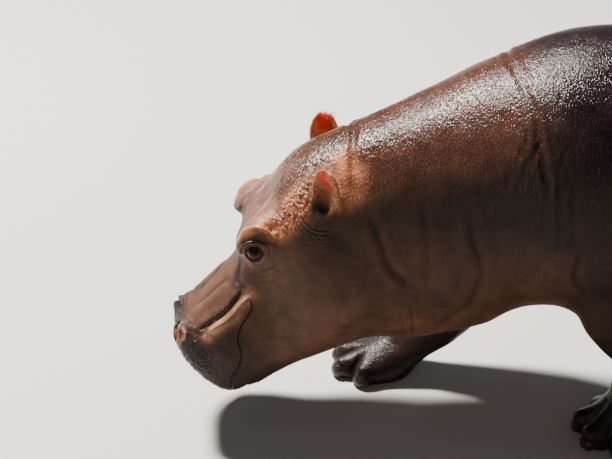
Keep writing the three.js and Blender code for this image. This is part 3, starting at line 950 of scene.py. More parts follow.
class Hide:
    """The colour at every point of the skin, laid on in coats, and where each point lies."""

    def __init__(self, skin):
        self.co, self.out = places(skin), normals_of(skin)
        self.x, self.z, self.facing_up = self.co[:, 0], self.co[:, 2], self.out[:, 2]
        self.head, self.dorsal, self.flank = in_head(self.co)
        self.colour = np.tile(np.array(HIDE_COLOURS["flank"]), (len(self.co), 1))
        self.fleck = self.grain(31)
        self.drift = self.grain(9) * 0.7 + self.fleck * 0.3
        self.face = step(self.head, -5, 40) * step(self.x, -0.47, -0.52)
        self.speck = self.grain(95) * self.face
        self.top = self.face * step(self.dorsal, -6, 14) * step(self.flank, 95, 60)
        self.tip = self.face * step(self.head, 362, 398) * step(self.dorsal, -105, -60)

    def grain(self, scale):
        """A soft pattern from -1 to 1 with so many patches to the metre."""
        return np.array([noise.noise(Vector(p * scale)) for p in self.co])

    def blend(self, name, share):
        """Lays a coat over what is there, as strong as its share at each point."""
        self.colour += (np.array(HIDE_COLOURS[name]) - self.colour) * np.clip(share, 0, 1)[:, None]

    def lines(self, lines, reach):
        return along_lines(self.co, lines, reach)

    def near_ear(self, name, outside, inside):
        """1 in an ear's box, fading between two distances from it."""
        low, high, middle = box_of(f"ear_{name}")
        return step(np.abs(self.co - middle) - (high - low) / 2, outside, inside).prod(1)


def paint_trunk(hide):
    x, z, up, fleck, drift = hide.x, hide.z, hide.facing_up, hide.fleck, hide.drift
    # the paler, pinker underside: partly the belly's own colour, partly painted bounce light from the floor,
    # most where the skin faces down
    low = step(z, 0.36, 0.20) * step(z, 0.08, 0.14)
    hide.blend("belly", low * (0.50 + 0.5 * drift) * (0.4 + 0.6 * step(up, 0.2, -0.6)))
    # painted shade: the upper flanks darkened where they turn away from the light above
    middle = step(z, 0.40, 0.50) * step(x, -0.56, -0.40)
    hide.blend("shade", middle * (0.74 + 0.5 * drift) * step(up, 0.65, 0.30))
    # painted shadow under the body: the legs behind the shoulders darkened low down
    hide.blend("shade", step(x, -0.20, 0.00) * step(z, 0.08, 0.22) * 0.94)
    neck = step(x, -0.52, -0.44) * step(up, 0.25, 0.60) * step(x, -0.12, -0.24)
    hide.blend("neck_top", neck * (0.9 + 0.3 * fleck))
    hide.blend("back", step(up, 0.1, 0.5) * step(x, -0.26, -0.12) * (0.95 + 0.3 * drift))


def paint_face(hide):
    co, face, head, dorsal = hide.co, hide.face, hide.head, hide.dorsal
    fleck, drift, top = hide.fleck, hide.drift, hide.top
    hide.blend("cheek", face * (0.85 + 0.3 * drift))
    # painted shade behind and below the ears, on both sides
    hide.blend("shade", face * near(co * [1, 0, 1], np.array([-0.535, 0, 0.435]), 0.050) * 0.75)
    hide.blend("belly", face * step(dorsal, -120, -190) * (0.35 + 0.5 * drift))
    hide.blend("forehead", top * step(head, 250, 190) * (0.9 + 0.3 * fleck))
    crown = step(head, -40, -5) * step(head, 120, 90) * step(hide.flank, 112, 76) * step(hide.z, 0.47, 0.52)
    hide.blend("forehead", crown * (0.75 + 0.5 * fleck))
    # pale streaks along the forehead: painted sheen of wet drips
    fibres = [noise.noise(Vector((a / 42, b / 5.5, 3.7))) for a, b in zip(head, hide.flank)]
    streaks = step(np.array(fibres), 0.10, 0.55)
    hide.blend("streak", top * step(head, 60, 90) * step(head, 250, 200) * streaks * 0.65)
    muzzle = face * step(head, 200, 245) * step(dorsal, -40, -12)
    hide.blend("muzzle_top", muzzle * (0.85 + 0.6 * fleck))
    lip = np.maximum(face * step(head, 290, 335) * step(dorsal, -22, -45), face * step(head, 370, 400))
    hide.blend("upper_lip", lip * (0.9 + 0.4 * fleck))
    hide.blend("muzzle_tip", hide.tip * (0.80 + 0.7 * fleck))
    hide.blend("feet", step(hide.z + 0.06 * drift, 0.27, 0.06) * 0.88)


def paint_folds(hide):
    """Painted shade in grooves, along the mouth and under the brow, and pale or flushed ridges, the brow's
    edge with painted light, with edges broken into specks.
    """
    fleck, speck = hide.fleck, hide.speck
    # painted shade in the grooves beside the lip and the eye, broken into specks
    grooves = hide.lines(both_sides(LIP_GROOVE, EYE_GROOVE, GROOVE_LINK), 0.0145)
    hide.blend("groove", step(grooves + 0.34 * fleck + 0.60 * speck, 0.42, 0.90) * 0.90)
    # painted shade in the streak groove along the muzzle
    streak = hide.lines(both_sides(MUZZLE_STREAK), 0.0080)
    hide.blend("groove", step(streak + 0.30 * fleck + 0.45 * speck, 0.50, 0.95) * 0.85)
    front = hide.face * step(hide.head, 330, 372) * step(hide.dorsal, -12, -40)
    hide.blend("muzzle_tip", step(front * 0.6 + 0.35 * fleck + 0.55 * speck, 0.48, 0.85) * 0.85)
    # painted shade along the mouth's slit
    hide.blend("painted_deep_shade", hide.lines([across_the_middle(MOUTH[::-1])], 0.0017) * 0.85)
    hide.blend("lip", hide.lines(both_sides(LIP_RIDGE), 0.0105) * (0.95 + 0.9 * fleck))
    hide.blend("flush_and_sunlit", hide.lines(both_sides(CURLS_LOW, CURLS_HIGH), 0.0190) * (0.85 + 0.8 * fleck))
    # the brow's edge: orange flush, with painted light along its lit top
    hide.blend("flush_and_sunlit", hide.lines(both_sides(BROW_EDGE), 0.0080) * (0.95 + 0.5 * fleck))
    # painted shadow under the brow
    hide.blend("groove", hide.lines(both_sides(BROW_UNDER), 0.0080) * 0.90)
    # orange flush behind the ears, raised with painted light
    hide.blend("flush_and_sunlit", hide.lines(both_sides(NAPE_FLUSH), 0.0240) * (0.80 + 0.9 * fleck))
    hide.blend("pink", hide.lines(both_sides(THROAT), 0.030) * (0.30 + 0.5 * fleck))


def paint_eye(hide, name):
    centre, gaze = (np.array(v) for v in EYES[name])
    ball = np.linalg.norm(hide.co - centre, axis=1)
    hide.blend("cheek", step(ball, 0.040, 0.026) * 0.7)
    # painted shade at the lid's inner edge, round the ball
    hide.blend("painted_deep_shade", step(ball, 0.0210, 0.0180) * 0.85)
    hide.blend("rim", bell(ball - 0.0228, 0.0014) * 0.22)
    ahead = ALONG - gaze * (ALONG @ gaze)
    corner = centre + gaze * 0.0135 + ahead / np.linalg.norm(ahead) * 0.0135 + np.array([0, 0, 0.002])
    hide.blend("pink", near(hide.co, corner, 0.0034) * 1.2)


def paint_nostril(hide, side):
    rim = hide.lines([on_side(NOSTRIL_RIM, side)], 0.0052)
    hide.blend("muzzle_tip", near(hide.co, head_point(408, 8, 55 * side), 0.020) * 0.35)
    hide.blend("rim", rim * 0.9)
    slot = hide.lines([on_side(NOSTRIL, side)], 0.0036)
    hide.blend("nostril", step(slot, 0.15, 0.6))
    opening = np.linalg.norm(hide.co - nostril_hole(side), axis=1)
    hide.blend("rim", bell(opening - 0.0122, 0.0030) * 0.8)
    hide.blend("nostril", step(opening, 0.0100, 0.0075))
    # painted shade deep in the nostril's slot
    hide.blend("painted_deep_shade", step(slot, 0.93, 1.0) * 0.35)


def paint_ear(hide, name):
    """A flushed ear, red in the upper cup, pale at the rim and with painted shade down its canal; the red
    rises up the cup, partly painted light shining through the ear.
    """
    co = hide.co
    _, high, middle = box_of(f"ear_{name}")
    across = np.hypot(*(co - middle)[:, :2].T)
    ear = hide.near_ear(name, 0.006, 0.001) * step(hide.z, 0.49, 0.51) * step(across, 0.034, 0.028)
    facing = EAR_FACING[name]
    ahead = (co - middle) @ facing
    core = np.hypot(*(co - middle - facing * 0.004)[:, :2].T)
    cup = step(hide.out @ facing, -0.1, 0.35) * step(ahead, 0.012, 0.003) * step(core, 0.0215, 0.0150)
    height = step(hide.z, high[2] - 0.052, high[2] - 0.026)
    hide.blend("forehead", ear * 0.6)
    hide.blend("flush_and_sunlit", ear * 0.80)
    # the red grows towards the top of the cup: the ear's own red, with painted light shining through it
    hide.blend("ear_inside", ear * cup * (0.12 + 0.88 * height))
    hide.blend("rim", step(ahead, 0.006, 0.016) * ear * 0.5)
    # painted shade down the ear's canal
    hide.blend("painted_deep_shade", near(co, ear_canal(SIDES[name]), 0.021) * 1.25)


def wetness(hide):
    """Where water stands: the crown, neck and back, the feet, the muzzle's tip and the lips."""
    head, z = hide.head, hide.z
    wet = step(hide.facing_up, 0.10, 0.55) * step(z, 0.36, 0.50)
    wet = np.maximum(wet, 0.80 * step(z, 0.14, 0.07))
    wet = np.maximum(wet, 0.45 * hide.tip)
    wet = np.maximum(wet, hide.lines(both_sides(LIP_GROOVE, LIP_RIDGE), 0.010) * 0.8)
    wet *= 1 - 0.70 * hide.top * step(head, 60, 100) * step(head, 360, 330)
    wet = np.maximum(wet, hide.lines(both_sides(BROW_EDGE), 0.012) * 0.9)
    for side in SIDES.values():
        wet *= 1 - near(hide.co, ear_canal(side), 0.030)
    return np.clip(wet * (0.9 + 0.35 * hide.drift), 0, 1)


def pebbles_of(hide, wet):
    """How pebbled the hide is: most on wet skin and the muzzle, least on the bridge and ears."""
    head, z = hide.head, hide.z
    pebble = 0.22 + 0.50 * wet
    pebble = np.maximum(pebble, 0.6 * step(z, 0.42, 0.52) * step(head, 75, 30) * step(hide.x, -0.40, -0.50))
    pebble *= 1 - 0.45 * hide.lines(both_sides(CURLS_LOW, CURLS_HIGH), 0.016)
    pebble = np.maximum(pebble, 0.9 * hide.tip)
    pebble = np.maximum(pebble, hide.lines(both_sides(LIP_GROOVE), 0.016) * 0.9)
    for name in SIDES:
        pebble *= 1 - 0.85 * hide.near_ear(name, 0.003, -0.001) * step(z, 0.50, 0.525)
    bridge = 0.80 * hide.face * step(head, 70, 110) * step(head, 380, 330) * step(hide.dorsal, -10, 6)
    return pebble * (1 - bridge)


def paint_skin(skin):
    """Writes the hide's colour, and how wet, pebbled and creased it is, onto the skin's points."""
    hide = Hide(skin)
    paint_trunk(hide)
    paint_face(hide)
    paint_folds(hide)
    for name, side in SIDES.items():
        paint_eye(hide, name)
        paint_nostril(hide, side)
    for name in SIDES:
        paint_ear(hide, name)
    crease, ridge = hollows(skin)
    # painted shade in the creases
    hide.blend("painted_deep_shade", crease * (0.30 + 0.32 * hide.face))
    # painted highlight on the ridges; drift is a random tone
    hide.colour *= (1 + 0.30 * hide.drift + 0.14 * ridge)[:, None]
    wet = wetness(hide)
    point_colours(skin, "hide", np.clip(hide.colour, 0, 1))
    point_colours(skin, "feel", np.clip(np.stack([wet, pebbles_of(hide, wet), crease], 1), 0, 1))


# ---- Finishes ----
class Shading:
    """Short ways to add and join a tree's nodes."""

    def __init__(self, tree):
        self.tree = tree

    def add(self, kind, inputs=(), **settings):
        node = self.tree.nodes.new(kind)
        for name, value in settings.items():
            setattr(node, name, value)
        for name, value in dict(inputs).items():
            socket = node.inputs[name]
            if isinstance(value, bpy.types.NodeSocket):
                self.tree.links.new(value, socket)
            else:
                socket.default_value = value
        return node

    def math(self, how, a, b=0.0, c=0.0):
        return self.add("ShaderNodeMath", {0: a, 1: b, 2: c}, operation=how).outputs[0]

    def spread(self, value, low, high, to_low=0.0, to_high=1.0):
        """Carries the range low to high over to another, and stops at its ends."""
        ends = {"Value": value, "From Min": low, "From Max": high, "To Min": to_low, "To Max": to_high}
        return self.add("ShaderNodeMapRange", ends).outputs["Result"]

    def noise(self, place, scale, detail, roughness=0.5):
        inputs = {"Vector": place, "Scale": scale, "Detail": detail, "Roughness": roughness}
        return self.add("ShaderNodeTexNoise", inputs).outputs

    def stretch(self, place, scale):
        return self.add("ShaderNodeMapping", {"Vector": place, "Scale": scale}).outputs[0]

    def vector(self, how, a, b=None):
        """Adds, subtracts or multiplies two vectors, or finds one's length."""
        inputs = {0: a} if b is None else {0: a, 1: b}
        return self.add("ShaderNodeVectorMath", inputs, operation=how).outputs

    def scaled(self, place, by):
        return self.add("ShaderNodeVectorMath", {0: place, "Scale": by}, operation="SCALE").outputs[0]

    def link(self, value, socket):
        self.tree.links.new(value, socket)

    def ramp(self, value, *stops):
        """A colour that follows a value. Each stop has a place from 0 to 1 and a colour."""
        node = self.add("ShaderNodeValToRGB", {"Fac": value})
        elements = node.color_ramp.elements
        for index, (spot, colour) in ((0, stops[0]), (1, stops[-1])):
            elements[index].position = spot
            elements[index].color = (*colour, 1)
        for spot, colour in stops[1:-1]:
            elements.new(spot).color = (*colour, 1)
        return node.outputs["Color"]

    def mix(self, share, colour, other):
        """Goes from a colour to another, fixed one as the share rises."""
        inputs = {0: share, 6: colour, 7: (*other, 1)}
        return self.add("ShaderNodeMix", inputs, data_type="RGBA").outputs[2]

    def bump(self, height, strength, distance, shader):
        settings = {"Height": height, "Strength": strength, "Distance": distance}
        self.link(self.add("ShaderNodeBump", settings).outputs["Normal"], shader.inputs["Normal"])


def group(name, inputs, outputs):
    tree = bpy.data.node_groups.new(name, "ShaderNodeTree")
    for label, kind, start in inputs:
        socket = tree.interface.new_socket(name=label, in_out="INPUT", socket_type=kind)
        if start is not None:
            socket.default_value = start
    for label, kind in outputs:
        tree.interface.new_socket(name=label, in_out="OUTPUT", socket_type=kind)
    return tree


def hide_relief():
    """Wet pebbles, upright wrinkles and pores of hide: a height, a mask of the gaps, which the hide darkens
    as painted shade, and a mottle.
    """
    tree = group(
        "hide relief",
        [("Place", "NodeSocketVector", None), ("Pebbles", "NodeSocketFloat", 0.5)],
        [("Height", "NodeSocketFloat"), ("Gaps", "NodeSocketFloat"), ("Mottle", "NodeSocketFloat")],
    )
    s = Shading(tree)
    entry, out = s.add("NodeGroupInput"), s.add("NodeGroupOutput")
    spot, pebbles = entry.outputs["Place"], entry.outputs["Pebbles"]
    bent = s.vector("SUBTRACT", s.noise(spot, 45.0, 2.0)["Color"], (0.5, 0.5, 0.5))[0]
    bent = s.vector("ADD", spot, s.scaled(bent, 0.010))[0]
    cells = {"Vector": s.stretch(bent, (1.5, 0.9, 0.75)), "Scale": 230.0, "Smoothness": 0.30}
    beads = s.add("ShaderNodeTexVoronoi", {**cells, "Randomness": 1.0}, feature="SMOOTH_F1")
    bead = s.spread(beads.outputs["Distance"], 0.10, 0.60, 1.0, 0.0)
    upright = s.spread(s.noise(s.stretch(bent, (1.0, 0.55, 0.16)), 190.0, 3.0, 0.55)["Fac"], 0.32, 0.62)
    fine = s.noise(spot, 620.0, 3.0, 0.6)["Fac"]
    mottle = s.noise(spot, 30.0, 6.0, 0.66)["Fac"]
    height = s.math("MULTIPLY", bead, pebbles)
    height = s.math("MULTIPLY_ADD", upright, 0.34, height)
    height = s.math("MULTIPLY_ADD", fine, 0.34, height)
    height = s.math("MULTIPLY_ADD", mottle, 0.35, height)
    # the gaps between beads and in the wrinkles, which the hide darkens as painted shade
    gaps = s.math("MULTIPLY", s.spread(bead, 0.55, 0.10), pebbles)
    gaps = s.math("MAXIMUM", gaps, s.math("MULTIPLY", s.spread(upright, 0.40, 0.0), 0.28))
    s.link(height, out.inputs["Height"])
    s.link(gaps, out.inputs["Gaps"])
    s.link(mottle, out.inputs["Mottle"])
    return tree


def principled(name, **constants):
    material = bpy.data.materials.new(name)
    material.use_nodes = True
    shader = material.node_tree.nodes["Principled BSDF"]
    for label, value in constants.items():
        shader.inputs[label.replace("_", " ")].default_value = value
    return material, Shading(material.node_tree), shader


def wet_hide():
    material, s, shader = principled("wet hide", IOR=1.34, Specular_IOR_Level=0.42)
    spot = s.add("ShaderNodeTexCoord").outputs["Object"]
    hide = s.add("ShaderNodeAttribute", attribute_name="hide")
    feel = s.add("ShaderNodeAttribute", attribute_name="feel")
    parts = s.add("ShaderNodeSeparateColor", {"Color": feel.outputs["Color"]})
    wet, pebbles = parts.outputs["Red"], parts.outputs["Green"]
    relief = s.add("ShaderNodeGroup", {}, node_tree=hide_relief())
    s.link(spot, relief.inputs["Place"])
    s.link(pebbles, relief.inputs["Pebbles"])
    # the mottle's own tone, darkened in the relief's gaps as painted shade
    shade = s.spread(relief.outputs["Mottle"], 0.30, 0.70, 0.60, 1.45)
    shade = s.math("MULTIPLY", shade, s.spread(relief.outputs["Gaps"], 0.0, 1.0, 1.06, 0.50))
    s.link(s.scaled(hide.outputs["Color"], shade), shader.inputs["Base Color"])
    rough = s.spread(wet, 0.0, 1.0, 0.60, 0.15)
    rough = s.math("MULTIPLY_ADD", relief.outputs["Mottle"], 0.10, rough)
    s.link(rough, shader.inputs["Roughness"])
    s.bump(relief.outputs["Height"], 1.0, 0.0009, shader)
    return material


# ---- Eyes ----
def make_eye(name):
    """An eyeball with a raised cornea. Its UV map is a disc round the line it looks along."""
    centre, gaze = EYES[name]
    deselect()
    bpy.ops.mesh.primitive_uv_sphere_add(segments=64, ring_count=48, radius=EYE_RADIUS)
    eye = bpy.context.object
    eye.name = eye.data.name = f"eye_{name}_ball"
    co = places(eye)
    tilt = np.arccos(np.clip(co[:, 2] / EYE_RADIUS, -1, 1))
    co *= (1 + CORNEA * step(tilt, 0.80, 0.0) / EYE_RADIUS)[:, None]
    place(eye, co)
    turn = np.arctan2(co[:, 1], co[:, 0])
    flat = np.stack([tilt * np.cos(turn), tilt * np.sin(turn)], 1) / math.pi * 0.5 + 0.5
    disc = eye.data.uv_layers.new(name="disc")
    disc.data.foreach_set("uv", flat[corner_points(eye)].astype(np.float32).ravel())
    while len(eye.data.uv_layers) > 1:
        eye.data.uv_layers.remove(eye.data.uv_layers[0])
    facing = gaze.to_track_quat("Z", "Y").to_matrix().to_4x4()
    eye.data.transform(Matrix.Translation(centre) @ facing)
    shade_smooth(eye)
    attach(eye, "root")
    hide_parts(f"eye_{name}")
    return eye


def eye_finish():
    """A wide pupil in a dark iris with fine rays, under a clear coat."""
    constants = {"Roughness": 0.22, "Specular_IOR_Level": 0.12}
    coat = {"Coat_Weight": 0.14, "Coat_Roughness": 0.015, "Coat_IOR": 1.45}
    material, s, shader = principled("wet eye", **constants, **coat)
    disc = s.add("ShaderNodeUVMap", uv_map="disc").outputs["UV"]
    middle = s.vector("SUBTRACT", disc, (0.5, 0.5, 0.0))[0]
    away = s.vector("LENGTH", middle)["Value"]
    squeezed = s.vector("LENGTH", s.vector("MULTIPLY", middle, (0.72, 1.35, 1.0))[0])["Value"]
    parts = s.add("ShaderNodeSeparateXYZ", {"Vector": middle})
    turn = s.math("ARCTAN2", parts.outputs["Y"], parts.outputs["X"])
    rays = {"X": s.math("MULTIPLY", turn, 7.0), "Y": s.math("MULTIPLY", away, 18.0)}
    fibre = s.noise(s.add("ShaderNodeCombineXYZ", rays).outputs[0], 2.2, 4.0)["Fac"]
    stops = ((0.15, (0.008, 0.004, 0.003)), (0.6, (0.014, 0.006, 0.0035)), (1.0, (0.040, 0.015, 0.007)))
    iris = s.ramp(s.math("MULTIPLY_ADD", fibre, 0.35, s.spread(away, 0.03, 0.115)), *stops)
    ball = s.mix(s.spread(away, 0.112, 0.126), iris, (0.028, 0.014, 0.012))
    pupil = s.spread(squeezed, 0.060, 0.068, 1.0, 0.0)
    s.link(s.mix(pupil, ball, (0.003, 0.003, 0.004)), shader.inputs["Base Color"])
    return material


# ---- Toenails ----
def make_nails(leg):
    """The four blunt nails of one foot, as one piece."""
    made = []
    for toe in TOES:
        middle, outward = nail_place(leg, toe)
        deselect()
        bpy.ops.mesh.primitive_uv_sphere_add(segments=40, ring_count=28, radius=1.0)
        nail = bpy.context.object
        # across, outward and up: blunt in front, worn flat below, thin where it meets the toe
        x, y, z = places(nail).T
        x = np.sign(x) * np.abs(x) ** 0.70 * NAIL_HALF_WIDTH
        y = np.sign(y) * np.abs(y) ** 0.58 * 0.0118
        z = np.sign(z) * np.abs(z) ** 0.72 * np.where(z > 0, 0.0145, 0.0155)
        x *= 1 - 0.22 * step(z, 0.002, 0.015)
        y -= 0.42 * np.maximum(z, 0) + 0.16 * x * x / NAIL_HALF_WIDTH
        y += 0.00035 * np.sin(z * 2100 + 1.3 * np.sin(x * 500)) * step(y, 0.0, 0.006)
        place(nail, np.stack([x, y, z], 1))
        centre = middle - outward * 0.0048
        centre[2] = 0.0175
        facing = Matrix(((outward[1], outward[0], 0), (-outward[0], outward[1], 0), (0, 0, 1))).to_4x4()
        nail.data.transform(Matrix.Translation(Vector(centre)) @ facing)
        co = places(nail)
        worn = np.minimum(co[:, 2] - NAIL_SOLE, 0)
        co[:, 2] = np.maximum(co[:, 2], NAIL_SOLE + 0.02 * worn)
        place(nail, co)
        made.append(nail)
    nails = join(made, made[0])
    nails.name = nails.data.name = f"{leg}_nails"
    while nails.data.uv_layers:
        nails.data.uv_layers.remove(nails.data.uv_layers[0])
    shade_smooth(nails)
    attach(nails, "root")
    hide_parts(*[f"{leg}_foot_nail_{toe}" for toe in TOES])
    return nails


def nail_finish():
    """Dark horn with level growth lines, paler at its worn lower edge."""
    material, s, shader = principled("worn nail", IOR=1.45, Coat_Roughness=0.22, Coat_Weight=0.12)
    spot = s.add("ShaderNodeTexCoord").outputs["Object"]
    height = s.add("ShaderNodeSeparateXYZ", {"Vector": spot}).outputs["Z"]
    layers = s.noise(spot, 90.0, 5.0, 0.65)["Fac"]
    growth = s.noise(s.stretch(spot, (30.0, 30.0, 260.0)), 3.0, 3.0)["Fac"]
    tone = s.math("MULTIPLY_ADD", layers, 0.5, s.spread(height, 0.003, 0.030, 0.55, 0.0))
    tone = s.math("MULTIPLY_ADD", growth, 0.30, tone)
    colour = s.ramp(tone, (0.25, (0.004, 0.003, 0.003)), (0.95, (0.028, 0.018, 0.014)))
    s.link(colour, shader.inputs["Base Color"])
    s.link(s.spread(layers, 0.3, 0.7, 0.30, 0.52), shader.inputs["Roughness"])
    s.bump(growth, 0.7, 0.0006, shader)
    return material


# ---- Bristles and fine hair ----
def bristles(name, roots, ways, lengths, radius, droop, dark, pale):
    """Thin tapering hairs from root points, each turning from its own way towards a droop."""
    count, ring = len(roots), HAIR_JOINTS * HAIR_SIDES
    ways = ways / np.linalg.norm(ways, axis=1)[:, None]
    spin = rng.uniform(0, 2 * math.pi, count)
    helper = np.where(np.abs(ways[:, 2:3]) < 0.9, [[0.0, 0.0, 1.0]], [[1.0, 0.0, 0.0]])
    aside = np.cross(ways, helper)
    aside /= np.linalg.norm(aside, axis=1)[:, None]
    other = np.cross(ways, aside)
    curl = rng.normal(0, 0.25, (count, 3))
    points = []
    for joint in range(HAIR_JOINTS):
        t = joint / (HAIR_JOINTS - 1)
        middle = roots + ways * (lengths * t)[:, None]
        middle = middle + (np.array(droop) + curl) * (lengths * 0.45 * t * t)[:, None]
        thick = radius * (1 - 0.85 * t)
        for k in range(HAIR_SIDES):
            turn = spin + 2 * math.pi * k / HAIR_SIDES
            points.append(middle + (aside * np.cos(turn)[:, None] + other * np.sin(turn)[:, None]) * thick)
    points = np.stack(points, 1).reshape(-1, 3)
    walls = []
    for start in range(0, ring - HAIR_SIDES, HAIR_SIDES):
        for k in range(HAIR_SIDES):
            a, b = start + k, start + (k + 1) % HAIR_SIDES
            walls.append((a, b, b + HAIR_SIDES, a + HAIR_SIDES))
    first = np.arange(count)[:, None] * ring
    faces = (first[:, None] + np.array(walls)[None]).reshape(-1, 4)
    tips = first + np.arange(ring - HAIR_SIDES, ring)[None]
    feet = first + np.arange(HAIR_SIDES)[::-1][None]
    mesh = bpy.data.meshes.new(name)
    mesh.from_pydata(points.tolist(), [], faces.tolist() + tips.tolist() + feet.tolist())
    hairs = bpy.data.objects.new(name, mesh)
    bpy.context.scene.collection.objects.link(hairs)
    hair_map(hairs, roots, ring)
    dark, pale = np.array(dark), np.array(pale)
    tone = dark + (pale - dark) * rng.uniform(0, 1, (count, 1))
    point_colours(hairs, "hide", np.repeat(tone, ring, 0))
    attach(hairs, "root")
    return hairs


def hair_map(hairs, roots, ring):
    """The OFBake map: each hair is a small patch on an unwrap of the skin, at its root and facing."""
    tree = BVHTree.FromObject(skin, bpy.context.evaluated_depsgraph_get())
    facing = np.array([np.array(tree.find_nearest(Vector(p))[1]) for p in roots])
    low, high = roots.min(0), roots.max(0)
    span = (high - low).max() + 0.01
    rows, axis = np.arange(len(roots)), np.abs(facing).argmax(1)
    towards = facing[rows, axis] > 0
    first, second = np.array([1, 0, 0])[axis], np.array([2, 2, 1])[axis]
    u = (roots[rows, first] - low[first]) / span
    v = (roots[rows, second] - low[second]) / span
    u = (axis + 0.03 + 0.94 * np.clip(u, 0, 1)) / 3
    v = (towards + 0.03 + 0.94 * np.clip(v, 0, 1)) / 2
    layer = hairs.data.uv_layers.new(name="OFBake")
    owner = corner_points(hairs)
    hair, corner = owner // ring, owner % ring
    inside = np.stack([(corner % 3) * 0.0011, (corner // 3) * 0.00095], 1)
    spot = np.stack([u[hair], v[hair]], 1) + inside
    layer.data.foreach_set("uv", spot.astype(np.float32).ravel())


def hair_finish():
    material, s, shader = principled("bristle", Roughness=0.42, IOR=1.5)
    hide = s.add("ShaderNodeAttribute", attribute_name="hide")
    streak = s.noise(s.add("ShaderNodeTexCoord").outputs["Object"], 300.0, 2.0)["Fac"]
    tint = s.scaled(hide.outputs["Color"], s.spread(streak, 0.3, 0.7, 0.7, 1.3))
    s.link(tint, shader.inputs["Base Color"])
    return material


def scatter(chance, count):
    """Points of the skin picked at random, more where chance is high, with their facing."""
    co, out, pairs = places(skin), normals_of(skin), edges_of(skin)
    size = np.linalg.norm(co[pairs[:, 0]] - co[pairs[:, 1]], axis=1)
    edges = np.maximum(np.bincount(pairs[:, 0], minlength=len(co)), 1)
    area = (np.bincount(pairs[:, 0], size, len(co)) / edges) ** 2
    weight = (chance(co) * np.maximum(area, 1e-9))[pairs[:, 0]]
    pairs = pairs[rng.choice(len(pairs), count, p=weight / weight.sum())]
    t = rng.uniform(0, 1, (count, 1))
    spot = co[pairs[:, 0]] * (1 - t) + co[pairs[:, 1]] * t
    way = out[pairs[:, 0]] * (1 - t) + out[pairs[:, 1]] * t
    return spot - way * 0.0006, way


def coat(name, chance, count, stand_out, lean, stray, lengths, *look):
    """Hairs over a part of the skin, which stand out from it, lean one way and stray at random."""
    spot, way = scatter(chance, count)
    way = way * stand_out + np.array(lean) + rng.normal(0, stray, way.shape)
    return bristles(name, spot, way, rng.uniform(*lengths, len(spot)), *look)


def on_muzzle(co):
    head, dorsal, _ = in_head(co)
    lip = step(head, 318, 380) * step(dorsal, 14, -6) * step(dorsal, -165, -120)
    chin = step(head, 370, 400) * step(dorsal, -110, -125) * 0.6
    ridge = along_lines(co, both_sides(LIP_RIDGE), 0.012) * 0.5
    return (lip + chin + ridge) * (co[:, 0] < -0.6)


def on_ear_rim(name):
    low, high, middle = box_of(f"ear_{name}")

    def chance(co):
        inside = ((co > low - 0.004) & (co < high + 0.004)).all(1)
        ahead = (co - middle) @ EAR_FACING[name]
        rim = step(ahead, -0.004, 0.010) + step(co[:, 2], high[2] - 0.014, high[2] - 0.004)
        return inside * np.clip(rim, 0, 1) * step(co[:, 2], low[2] + 0.020, low[2] + 0.040) + NEVER_NONE

    return chance


def on_tail(co):
    x, y, z = co.T
    edge = step(z, 0.455, 0.400) * step(np.abs(y), 0.004, 0.012)
    return step(x, 0.785, 0.800) * step(z, 0.47, 0.44) * (edge + 0.25 * step(z, 0.42, 0.40)) + NEVER_NONE


def on_body(co):
    z = co[:, 2]
    return (step(z, 0.36, 0.50) * 0.7 + 0.3) * step(z, 0.15, 0.20) + NEVER_NONE


def lashes(name):
    """Short hairs along the upper lid."""
    centre, gaze = (np.array(v) for v in EYES[name])
    up = np.array([0, 0, 1.0]) - gaze * gaze[2]
    up /= np.linalg.norm(up)
    ahead = np.cross(up, gaze)
    turn = rng.uniform(math.radians(25), math.radians(155), 46)
    ring = ahead * np.cos(turn)[:, None] + up * np.sin(turn)[:, None]
    spot = centre + ring * 0.0150 + gaze * 0.0148
    way = gaze * 0.8 + ring * 0.7 + rng.normal(0, 0.15, spot.shape)
    look = 0.00020, (0, 0, 0.1), (0.02, 0.012, 0.01), (0.10, 0.06, 0.04)
    return bristles(f"eye_{name}_lashes", spot, way, rng.uniform(0.004, 0.008, len(spot)), *look)


def make_hair():
    """Each look is a radius, a droop, and the darkest and the palest tone."""
    look = 0.00022, (0.1, 0, -0.5), (0.06, 0.03, 0.02), (0.45, 0.30, 0.20)
    lengths = 0.003, 0.010
    hairs = [coat("muzzle_bristles", on_muzzle, 620, 1.0, (-0.15, 0, -0.35), 0.2, lengths, *look)]
    for name in SIDES:
        look = 0.00022, (0, 0, 0.2), (0.30, 0.13, 0.07), (0.80, 0.55, 0.36)
        lengths, fringe, chance = (0.004, 0.011), f"ear_{name}_fringe", on_ear_rim(name)
        hairs.append(coat(fringe, chance, 560, 1.0, (0, 0, 0.8), 0.25, lengths, *look))
        hairs.append(lashes(name))
    look = 0.00035, (0.05, 0, -0.7), (0.015, 0.010, 0.009), (0.10, 0.06, 0.045)
    lengths = 0.008, 0.024
    hairs.append(coat("tail_bristles", on_tail, 320, 0.8, (0.1, 0, -0.9), 0.15, lengths, *look))
    look = 0.00014, (0.4, 0, -0.6), (0.06, 0.03, 0.02), (0.30, 0.20, 0.14)
    lengths = 0.002, 0.0055
    hairs.append(coat("body_down", on_body, 900, 0.7, (0.7, 0, -0.35), 0.2, lengths, *look))
    return hairs


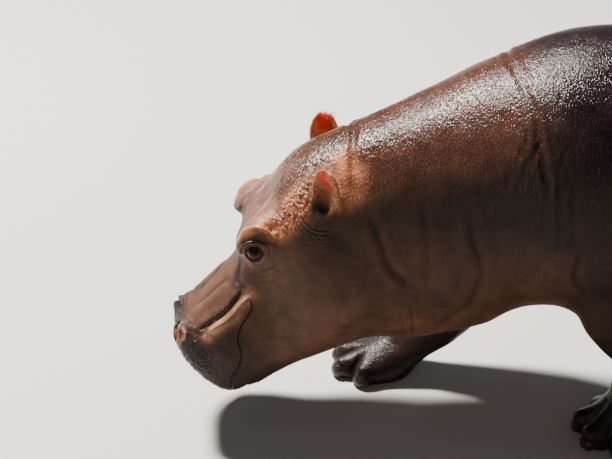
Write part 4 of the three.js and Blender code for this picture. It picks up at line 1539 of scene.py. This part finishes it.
def dress(pieces, look):
    for piece in pieces:
        piece.data.materials.append(look)


paint_skin(skin)
dress([skin], wet_hide())
dress([make_eye(name) for name in SIDES], eye_finish())
dress([make_nails(leg) for leg in LEGS], nail_finish())
dress(make_hair(), hair_finish())

# ---- Floor, light and camera ----
bpy.ops.mesh.primitive_plane_add(size=30, location=(0, 0, 0))
floor = bpy.context.object
floor.name = "floor"


look = principled("pale_floor", Base_Color=(0.52, 0.505, 0.475, 1), Roughness=0.75)[0]
floor.data.materials.append(look)

CENTRE = Vector((-0.578, 0.0, 0.3967))


def round_the_calf(azimuth, elevation, distance):
    a, e = math.radians(azimuth), math.radians(elevation)
    direction = (math.sin(a) * math.cos(e), -math.cos(a) * math.cos(e), math.sin(e))
    return CENTRE + Vector(direction) * distance


def lamp(name, azimuth, elevation, distance, size, power, colour=(1, 1, 1)):
    light = bpy.data.lights.new(name, "AREA")
    light.size, light.energy, light.color = size, power, colour
    obj = bpy.data.objects.new(name, light)
    bpy.context.scene.collection.objects.link(obj)
    obj.location = round_the_calf(azimuth, elevation, distance)
    obj.rotation_euler = (CENTRE - obj.location).to_track_quat("-Z", "Y").to_euler()


lamp("key", -142, 57, 5.0, 0.8, 1350, (1.0, 0.95, 0.90))
lamp("bounce", -30, 6, 5.5, 7.0, 105, (1.0, 0.82, 0.62))
lamp("rear", 98, 20, 5.5, 4.0, 60, (0.80, 0.88, 1.0))
world = bpy.data.worlds.new("studio")
world.use_nodes = True
world.node_tree.nodes["Background"].inputs["Color"].default_value = (0.66, 0.74, 0.92, 1)
world.node_tree.nodes["Background"].inputs["Strength"].default_value = 0.12
bpy.context.scene.world = world

camera_data = bpy.data.cameras.new("camera")
camera_data.sensor_width = 36
camera_data.lens = 94.1
camera = bpy.data.objects.new("camera", camera_data)
bpy.context.scene.collection.objects.link(camera)
camera.location = round_the_calf(-4, 30, 2.96)
camera.rotation_euler = (CENTRE - camera.location).to_track_quat("-Z", "Y").to_euler()
bpy.context.scene.camera = camera
